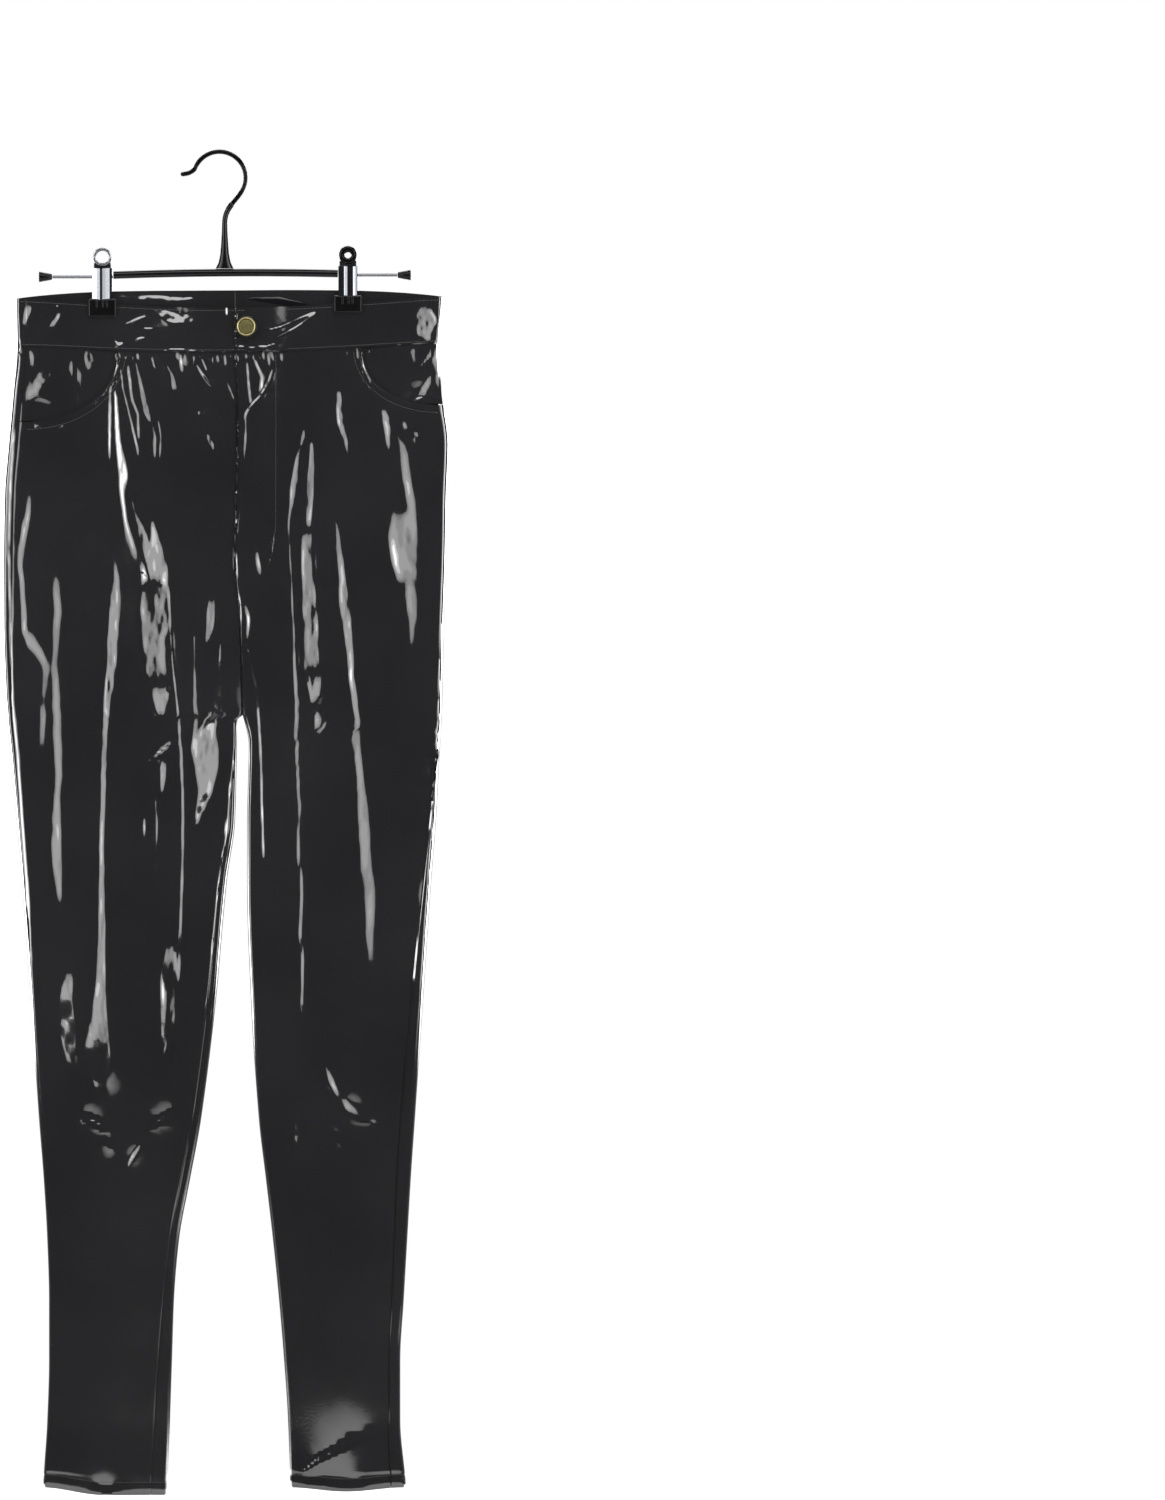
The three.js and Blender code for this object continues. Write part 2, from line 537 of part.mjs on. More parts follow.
// Tube along a list of points
function tube(points, radius, sides, steps) {
  const outline = new THREE.Shape();
  for (let side = 0; side < sides; side += 1) {
    const angle = 2 * Math.PI * side / sides;
    const x = radius * Math.cos(angle);
    const y = radius * Math.sin(angle);
    if (side === 0) outline.moveTo(x, y);
    else outline.lineTo(x, y);
  }
  outline.closePath();
  const path = new THREE.CatmullRomCurve3(points, false, 'centripetal');
  return new THREE.ExtrudeGeometry(outline, { steps, extrudePath: path, bevelEnabled: false });
}

// Centre line of the hook: bend from the tip over the top, then a sweep down to the neck
function hookLine() {
  const flat = ([x, z]) => new THREE.Vector3(x, 0, z);
  const points = hookTip.map(flat);
  for (let angle = 160; angle >= -20; angle -= 15) {
    const turn = THREE.MathUtils.degToRad(angle);
    points.push(flat([hook.bend * Math.cos(turn), hook.centreZ + hook.bend * Math.sin(turn)]));
  }
  const end = points[points.length - 1];
  const sweep = new THREE.CubicBezierCurve3(end, ...hookSweep.map(flat));
  points.push(...sweep.getPoints(8).slice(1));
  return points;
}

const wasm = await Module();
wasm.setup();

function solidFrom(geometry) {
  const plain = geometry.clone();
  plain.deleteAttribute('normal');
  plain.deleteAttribute('uv');
  const merged = mergeVertices(plain, 1e-4);
  return new wasm.Manifold(new wasm.Mesh({
    numProp: 3,
    vertProperties: new Float32Array(merged.attributes.position.array),
    triVerts: new Uint32Array(merged.index.array),
  }));
}

function geometryFrom(solid) {
  const { vertProperties, triVerts } = solid.getMesh();
  const geometry = new THREE.BufferGeometry();
  geometry.setAttribute('position', new THREE.Float32BufferAttribute(vertProperties, 3));
  geometry.setIndex([...triVerts]);
  geometry.computeVertexNormals();
  return geometry;
}

// Closed body through oval rings along a line in the XZ plane
function loftGeometry(rings) {
  const sides = 12;
  const positions = [];
  const index = [];
  rings.forEach(({ x, z, wide, deep }, ring) => {
    const before = rings[Math.max(ring - 1, 0)];
    const after = rings[Math.min(ring + 1, rings.length - 1)];
    const along = new THREE.Vector2(after.x - before.x, after.z - before.z).normalize();
    for (let side = 0; side < sides; side += 1) {
      const angle = 2 * Math.PI * side / sides;
      const across = wide * Math.cos(angle);
      positions.push(x - along.y * across, deep * Math.sin(angle), z + along.x * across);
    }
  });
  for (let ring = 0; ring < rings.length - 1; ring += 1) {
    for (let side = 0; side < sides; side += 1) {
      const next = (side + 1) % sides;
      const [a, b] = [ring * sides + side, ring * sides + next];
      index.push(a, b + sides, b, a, a + sides, b + sides);
    }
  }
  const last = (rings.length - 1) * sides;
  for (let side = 1; side < sides - 1; side += 1) {
    index.push(0, side, side + 1, last, last + side + 1, last + side);
  }
  const geometry = new THREE.BufferGeometry();
  geometry.setAttribute('position', new THREE.Float32BufferAttribute(positions, 3));
  geometry.setIndex(index);
  geometry.computeVertexNormals();
  return geometry;
}

// The wire's bare part, the dipped neck that takes it over, and the bar
function hookAndBar() {
  const line = hookLine();
  const parting = line.length - 5;
  addMesh('rail_hook', tube(line.slice(0, parting + 1), hook.wire, 10, 48), chrome());

  const before = line[parting - 1];
  const from = line[parting].clone();
  from.addScaledVector(from.clone().sub(before).normalize(), seamGap);
  const coat = [from, ...line.slice(parting + 1)].map((point) => (
    { x: point.x, z: point.z, wide: hook.wire + 0.5, deep: hook.wire + 0.5 }));
  addMesh('hanger_neck', loftGeometry([...coat, ...neckRings]), dipped());
  const arch = tube([
    new THREE.Vector3(bar.right, 0, bar.rightZ),
    new THREE.Vector3(hook.neckX, 0, bar.middleZ),
    new THREE.Vector3(bar.left, 0, bar.leftZ),
  ], bar.radius, 12, 14);
  addMesh('hanger_bar', arch, dipped());
}

function rodsAndCaps() {
  const ends = [
    { name: 'right', way: -1, from: bar.right, to: rod.right, z: clipPlaces[0].rodZ },
    { name: 'left', way: 1, from: bar.left, to: rod.left, z: clipPlaces[1].rodZ },
  ];
  for (const { name, way, from, to, z } of ends) {
    const start = from + way * seamGap;
    const wire = new THREE.CylinderGeometry(rod.radius, rod.radius, Math.abs(to - start), 12);
    wire.rotateZ(Math.PI / 2);
    addMesh(`rod_${name}`, wire, chrome()).position.set((start + to) / 2, 0, z);
    const profile = [[0, 0], [endCap.inner, 0], [endCap.inner + 0.5, 2.5], [endCap.outer - 0.6, 9.5],
      [endCap.outer, 10.5], [endCap.outer - 0.5, endCap.length], [0, endCap.length]];
    const cap = new THREE.LatheGeometry(profile.map(([r, h]) => new THREE.Vector2(r, h)), 16);
    cap.rotateZ(-way * Math.PI / 2);
    addMesh(`end_cap_${name}`, cap, rubber()).position.set(to + way * seamGap, 0, z);
  }
}

// Outline of a jaw plate from its lower edge at 0 up to the ring, with the ring's hole
function jawShape(height) {
  const half = clip.width / 2;
  const ringZ = height + clip.ringRise;
  const shoulder = height + clip.bodyTop;
  const shape = new THREE.Shape();
  shape.moveTo(-half, 0);
  shape.lineTo(half, 0);
  shape.lineTo(half, shoulder - 2);
  shape.lineTo(half - 1.4, shoulder);
  shape.absarc(0, ringZ, clip.ringRadius, -0.9, Math.PI + 0.9, false);
  shape.lineTo(-half + 1.4, shoulder);
  shape.lineTo(-half, shoulder - 2);
  shape.closePath();
  const hole = new THREE.Path();
  hole.absarc(0, ringZ, clip.ringHole, 0, 2 * Math.PI, true);
  shape.holes.push(hole);
  return shape;
}

function clips() {
  for (const { name, x, rodZ, padTop, padBottom } of clipPlaces) {
    const bore = rod.radius + seamGap;
    const profile = [[bore, -1], [clip.barrel, -1], [clip.barrel, 1], [bore, 1], [bore, -1]];
    const barrel = new THREE.LatheGeometry(
      profile.map(([r, h]) => new THREE.Vector2(r, h * clip.barrelLength / 2)), 16);
    barrel.rotateZ(Math.PI / 2);
    addMesh(`clip_barrel_${name}`, barrel, chrome()).position.set(x, 0, rodZ);

    for (const [layer, way] of [['front', -1], ['back', 1]]) {
      const jaw = new THREE.ExtrudeGeometry(jawShape(rodZ - padTop), {
        depth: clip.plate, bevelEnabled: false, curveSegments: 8 });
      jaw.rotateX(Math.PI / 2);
      if (way > 0) jaw.translate(0, clip.plate, 0);
      jaw.rotateX(-way * clip.lean);
      const mesh = addMesh(`clip_jaw_${layer}_${name}`, jaw, chrome());
      const lever = Math.tan(clip.lean) * (rodZ - padTop);
      const seat = (clip.barrel + seamGap) / Math.cos(clip.lean) - lever;
      mesh.position.set(x, way * seat, padTop + seamGap);

      const boot = new THREE.BoxGeometry(pad.width, pad.thickness, padTop - padBottom);
      const grip = foldRadius + seamGap + pad.thickness / 2;
      const held = addMesh(`clip_pad_${layer}_${name}`, boot, rubber());
      held.position.set(x, way * grip, (padTop + padBottom) / 2);
    }
  }
}

// Dished button with two holes, its axis along Y
function waistButton() {
  const { radius, height, dish, recess, hole, holePitch } = button;
  const profile = [[0, 0], [radius - 0.6, 0], [radius, 0.6], [radius, height - 0.6], [radius - 0.8, height],
    [dish + 0.6, height], [dish, height - recess], [0, height - recess]];
  let body = solidFrom(new THREE.LatheGeometry(profile.map(([r, h]) => new THREE.Vector2(r, h)), 28));
  for (const way of [-1, 1]) {
    const drill = new THREE.CylinderGeometry(hole, hole, 3 * height, 10);
    drill.translate(way * holePitch / 2, 0, 0);
    body = body.subtract(solidFrom(drill));
  }
  const shape = geometryFrom(body);
  shape.rotateX(Math.PI);
  shape.rotateY(THREE.MathUtils.degToRad(button.turned));
  const ring = ringFromX('left', button.x, button.z);
  const seat = facePoint('left', ring, button.z).y - lapLift - button.stand - seamGap;
  addMesh('button', shape, brass()).position.set(button.x, seat, button.z);
}

for (const side of ['right', 'left']) {
  frontPanel(side);
  backPanel(side);
  pocketFacing(side);
}
frontWaistbands();
backWaistband();
waistButton();
hookAndBar();
rodsAndCaps();
clips();

export default group;
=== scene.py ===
"""Glossy black coated-leather trousers on a metal clip hanger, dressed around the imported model.

Sizes are millimetres until a mesh is made. The front faces -Y, up is +Z, and right and left are the wearer's.
"""

import math

import bpy
import numpy as np
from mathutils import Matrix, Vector


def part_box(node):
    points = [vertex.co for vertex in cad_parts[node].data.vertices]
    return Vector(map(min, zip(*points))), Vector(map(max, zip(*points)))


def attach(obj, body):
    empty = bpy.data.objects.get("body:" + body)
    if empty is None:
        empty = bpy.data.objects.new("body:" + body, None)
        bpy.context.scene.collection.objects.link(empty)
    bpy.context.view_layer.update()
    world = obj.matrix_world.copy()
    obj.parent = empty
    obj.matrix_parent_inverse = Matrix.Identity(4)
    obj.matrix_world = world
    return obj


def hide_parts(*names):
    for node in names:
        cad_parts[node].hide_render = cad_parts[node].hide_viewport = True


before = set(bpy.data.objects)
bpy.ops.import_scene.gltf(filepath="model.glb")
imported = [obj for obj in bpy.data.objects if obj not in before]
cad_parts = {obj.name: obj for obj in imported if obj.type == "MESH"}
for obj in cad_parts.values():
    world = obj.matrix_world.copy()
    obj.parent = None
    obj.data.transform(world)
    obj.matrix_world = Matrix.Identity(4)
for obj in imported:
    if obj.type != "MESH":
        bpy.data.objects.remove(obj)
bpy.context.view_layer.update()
bpy.ops.object.select_all(action="DESELECT")

MM = 0.001

# Cloth sizes, as in the part's source
WALL = 1.2
SEAM_GAP = 0.3
FOLD_RADIUS = 1.7
LOOSE_RADIUS = 4.5
LOOSE_Z = -168
FORK_Z = -481.5
CROTCH_RISE = 150
POCKET_ROW_Z = -250
HEM_ROW_Z = -1105
LAP_END_Z = -348
LAP_FADE = 17
LAP_LIFT = 1.6
LAP_BLEND = 34
WAIST_OVERLAP = 18
FLY_OVERLAP = 7
FACING_UNDERLAP = 7
FACING_DROP = 2.0
FOLD_TOP = -142
CLIP_X = {"right": -100.3, "left": 110.2}
PAD_Z = {"right": (-124.3, -139.7), "left": (-121.3, -136.0)}
ROD_Z = {"right": -105.3, "left": -103.7}

SIDES = ("right", "left")
TOWARDS = {"right": 1, "left": -1}    # from the outer edge inwards


def columns(names, rows):
    """A short table as one array for each named column"""
    return {name: np.array([row[i] for row in rows], float) for i, name in enumerate(names)}


# Cross-sections: x of each leg's outer and inner edge, half depth in front and behind
SECTIONS = columns(("z", "outer_right", "inner_right", "inner_left", "outer_left", "front", "back"), [
    (-117.0, -174.0, 13.4, 13.4, 190.8, 11.0, 11.0),
    (-163.5, -173.5, 14.0, 14.0, 187.5, 14.0, 14.0),
    (-206.5, -177.0, 15.5, 15.5, 191.0, 16.0, 17.0),
    (-249.5, -181.0, 15.5, 15.5, 196.5, 18.0, 20.0),
    (-292.0, -184.5, 14.5, 14.5, 195.0, 19.0, 22.0),
    (-348.0, -185.5, 13.5, 13.5, 194.0, 20.0, 23.0),
    (-399.5, -185.5, 17.5, 17.5, 192.5, 20.0, 23.0),
    (-463.5, -183.5, 19.5, 19.5, 191.0, 19.0, 21.0),
    (-481.5, -182.0, 19.8, 19.8, 190.5, 18.5, 20.0),
    (-485.0, -181.8, 15.3, 21.1, 190.4, 18.5, 20.0),
    (-506.5, -179.5, 15.0, 25.2, 189.0, 18.5, 20.0),
    (-571.0, -173.5, 13.4, 23.8, 185.5, 18.5, 19.5),
    (-622.0, -169.0, 6.5, 23.7, 181.5, 18.0, 19.0),
    (-725.0, -161.5, -2.9, 27.1, 174.5, 17.5, 17.5),
    (-828.0, -154.5, -15.8, 33.9, 167.5, 16.5, 16.5),
    (-879.0, -150.5, -25.2, 39.9, 164.0, 16.0, 16.0),
    (-930.5, -147.5, -34.6, 45.9, 161.0, 15.0, 16.0),
    (-982.0, -146.0, -38.9, 51.1, 158.0, 14.5, 15.5),
    (-1033.5, -146.0, -40.6, 55.4, 155.0, 14.0, 15.0),
    (-1085.0, -147.5, -42.3, 58.8, 155.0, 14.0, 14.5),
    (-1149.0, -151.0, -44.5, 60.7, 160.0, 15.0, 15.0),
])

# How far each seam stands in from its silhouette edge. A seam with a minus sign lies behind.
SEAMS = columns(("z", "outer_right", "inner_right", "inner_left", "outer_left"), [
    (-117.0, 8.0, 0.0, 0.0, -4.0),
    (-335.0, 8.5, 0.0, 0.0, -4.0),
    (-481.5, 5.0, 0.0, 0.0, -0.5),
    (-560.0, 3.5, 5.0, -3.0, 4.5),
    (-690.0, 1.5, 6.5, -4.0, 9.0),
    (-840.0, 0.0, 7.5, -4.0, 12.5),
    (-930.0, -2.0, 7.5, -4.0, 11.0),
    (-1065.0, -6.0, 12.5, -4.0, 9.5),
    (-1149.0, -8.5, 13.7, -4.0, 13.0),
])

# Waistband edges: height at each side, and how far the middle hangs below it
WAIST_TOP = {"right": -124.0, "left": -122.5, "front_sag": 8.6, "back_sag": -6.5}
WAIST_SEAM = {"right": -165.5, "left": -162.5, "front_sag": 6.4, "back_sag": -9.5}
HEMS = {
    "right": {"outer": -1142.5, "middle": -1149.0, "inner": -1149.0},
    "left": {"outer": -1142.5, "middle": -1146.0, "inner": -1142.5},
}
POCKETS = {
    "right": {"corner": -169.2, "width": 82.3, "depth": 64.0},
    "left": {"corner": 191.6, "width": 70.0, "depth": 52.5},
}


def smooth(value, low, high):
    """0 below low, 1 above high, smooth between"""
    t = np.clip((value - low) / (high - low), 0, 1)
    return t * t * (3 - 2 * t)


def lerp(a, b, t):
    return a + (b - a) * t


def sample(rows, key, z):
    """Smooth curve with no overshoot through a table's column. The rows run downwards in z."""
    zs, values = rows["z"], rows[key]
    z = np.clip(np.asarray(z, float), zs[-1], zs[0])
    slopes = np.diff(values) / np.diff(zs)
    product = slopes[:-1] * slopes[1:]
    total = np.where(product > 0, slopes[:-1] + slopes[1:], 1)
    tangents = np.zeros(len(zs))
    tangents[1:-1] = np.where(product > 0, 2 * product / total, 0)
    row = np.clip(np.searchsorted(-zs, -z, side="right") - 1, 0, len(zs) - 2)
    step = zs[row + 1] - zs[row]
    t = (z - zs[row]) / step
    rest = 1 - t
    return (values[row] * (1 + 2 * t) * rest * rest + values[row + 1] * (3 - 2 * t) * t * t
            + step * (tangents[row] * t * rest * rest - tangents[row + 1] * rest * t * t))


def edges_at(side, z):
    return sample(SECTIONS, f"outer_{side}", z), sample(SECTIONS, f"inner_{side}", z)


def ring_t(s):
    """Share of the way from the outer edge (s 0) to the inner edge (s 1). The back has s from -1 to 0."""
    return (1 - np.cos(np.pi * s)) / 2


def seam_ring(side, edge, z):
    outer, inner = edges_at(side, z)
    inset = sample(SEAMS, f"{edge}_{side}", z)
    turn = np.sign(inset) * np.arccos(1 - 2 * np.abs(inset) / np.abs(inner - outer)) / np.pi
    return turn if edge == "outer" else 1 - turn


def ring_from_x(side, x, z):
    outer, inner = edges_at(side, z)
    return np.arccos(1 - 2 * np.clip((x - outer) / (inner - outer), 0, 1)) / np.pi


def waist_edge(edge, x, front):
    """Height of a waist edge at x"""
    right, left = SECTIONS["outer_right"][0], SECTIONS["outer_left"][0]
    t = np.clip((x - right) / (left - right), 0, 1)
    u = 2 * t - 1
    sag = np.where(front, edge["front_sag"] * (1 - u * u) ** 1.5, edge["back_sag"] * (1 - u ** 4))
    return lerp(edge["right"], edge["left"], t) - sag


def mouth_z(side, x, grow=0):
    pocket = POCKETS[side]
    t = np.minimum(1, np.abs(x - pocket["corner"]) / (pocket["width"] + grow))
    return waist_edge(WAIST_SEAM, x, True) - (pocket["depth"] + grow) * np.sqrt(np.maximum(0, 1 - t * t))


def hem_z(side, s):
    hem = HEMS[side]
    t = ring_t(s)
    first = lerp(hem["outer"], hem["middle"], smooth(t, 0, 0.5))
    return np.where(t < 0.5, first, lerp(hem["middle"], hem["inner"], smooth(t, 0.5, 1)))


# The cloth hangs flat: it tilts gently towards each side and turns round in a narrow fold there.
FLAT_TILT = 0.10
SIDE_FOLD = 2.4
MIDDLE_SHARE = 0.6
CLIP_TILT = 0.09       # and it tilts this much away from each clip, which presses it flat
CLIP_FLAT = 9.0        # within this distance


def edge_share(distance, reach, half):
    """Share of the full half depth at a distance from a silhouette edge"""
    u = np.clip(1 - distance / reach, 0, 1)
    ramp = np.where(u < MIDDLE_SHARE, u * u / (2 * MIDDLE_SHARE), u - MIDDLE_SHARE / 2)
    at_fold = 1 - SIDE_FOLD / reach
    full = (1 - (1 - at_fold ** 2) ** 0.375) / (at_fold - MIDDLE_SHARE / 2)
    loss = np.minimum(full, FLAT_TILT * reach / half)
    turn = 1 - np.minimum(1, np.maximum(distance, 0) / SIDE_FOLD)
    return (1 - loss * ramp) * np.sqrt(np.maximum(0, 1 - turn * turn))


def clip_limit(x, z):
    """Depth the cloth can have near the clips"""
    limit = np.full(np.shape(x), 1e3)
    for side in SIDES:
        away = np.hypot(x - CLIP_X[side], np.maximum(0, PAD_Z[side][1] - z))
        away = np.sqrt(np.maximum(away - CLIP_FLAT, 0) ** 2 + 16) - 4
        limit = np.minimum(limit, FOLD_RADIUS + CLIP_TILT * away)
    return limit


def soft_least(a, b, blend):
    """The smaller of two depths, with a soft change from one to the other"""
    h = np.clip(0.5 + 0.5 * (b - a) / blend, 0, 1)
    return lerp(b, a, h) - blend * h * (1 - h)


def form_depth(side, t, x, z, front):
    """Distance of the smooth form from the middle plane, and the distance from the nearest silhouette edge"""
    outer, inner = edges_at(side, z)
    width = np.abs(inner - outer)
    half = np.where(front, sample(SECTIONS, "front", z), sample(SECTIONS, "back", z))
    rise = np.maximum(0, z - FORK_Z) / CROTCH_RISE
    from_outer = t * width
    from_fork = np.minimum(1, np.hypot(1 - t, rise)) * width
    outer_reach = width * lerp(0.5, 1, smooth(rise, 0, 1))
    depth = half * edge_share(from_outer, outer_reach, half) * edge_share(from_fork, width * 0.5, half)
    depth = soft_least(depth, clip_limit(x, z), 3.0)
    from_inner = np.where(z < FORK_Z + CROTCH_RISE, (1 - t) * width, 1e3)
    from_edge = np.minimum(from_outer, from_inner)
    radius = lerp(LOOSE_RADIUS, FOLD_RADIUS, smooth(z, LOOSE_Z, FOLD_TOP))
    least = np.sqrt(radius ** 2 - (radius - np.minimum(from_edge, radius)) ** 2)
    return np.maximum(depth, least), from_edge


def lap_lift(side, x, z, overlap):
    """The wearer's left front lies over the right one at the fly."""
    if side == "right":
        return np.zeros_like(x)
    seam = sample(SECTIONS, "inner_left", z)
    strength = smooth(z, LAP_END_Z - LAP_FADE - 32, LAP_END_Z - LAP_FADE - 3)
    return LAP_LIFT * strength * (1 - smooth(x - seam, overlap + 1, overlap + 1 + LAP_BLEND))


def waist_lap(side, x):
    """The same for the waistband"""
    away = np.abs(x - SECTIONS["inner_left"][1])
    near = 1 - smooth(away, WAIST_OVERLAP + 1, WAIST_OVERLAP + 1 + LAP_BLEND)
    return LAP_LIFT * near if side == "left" else np.zeros_like(x)


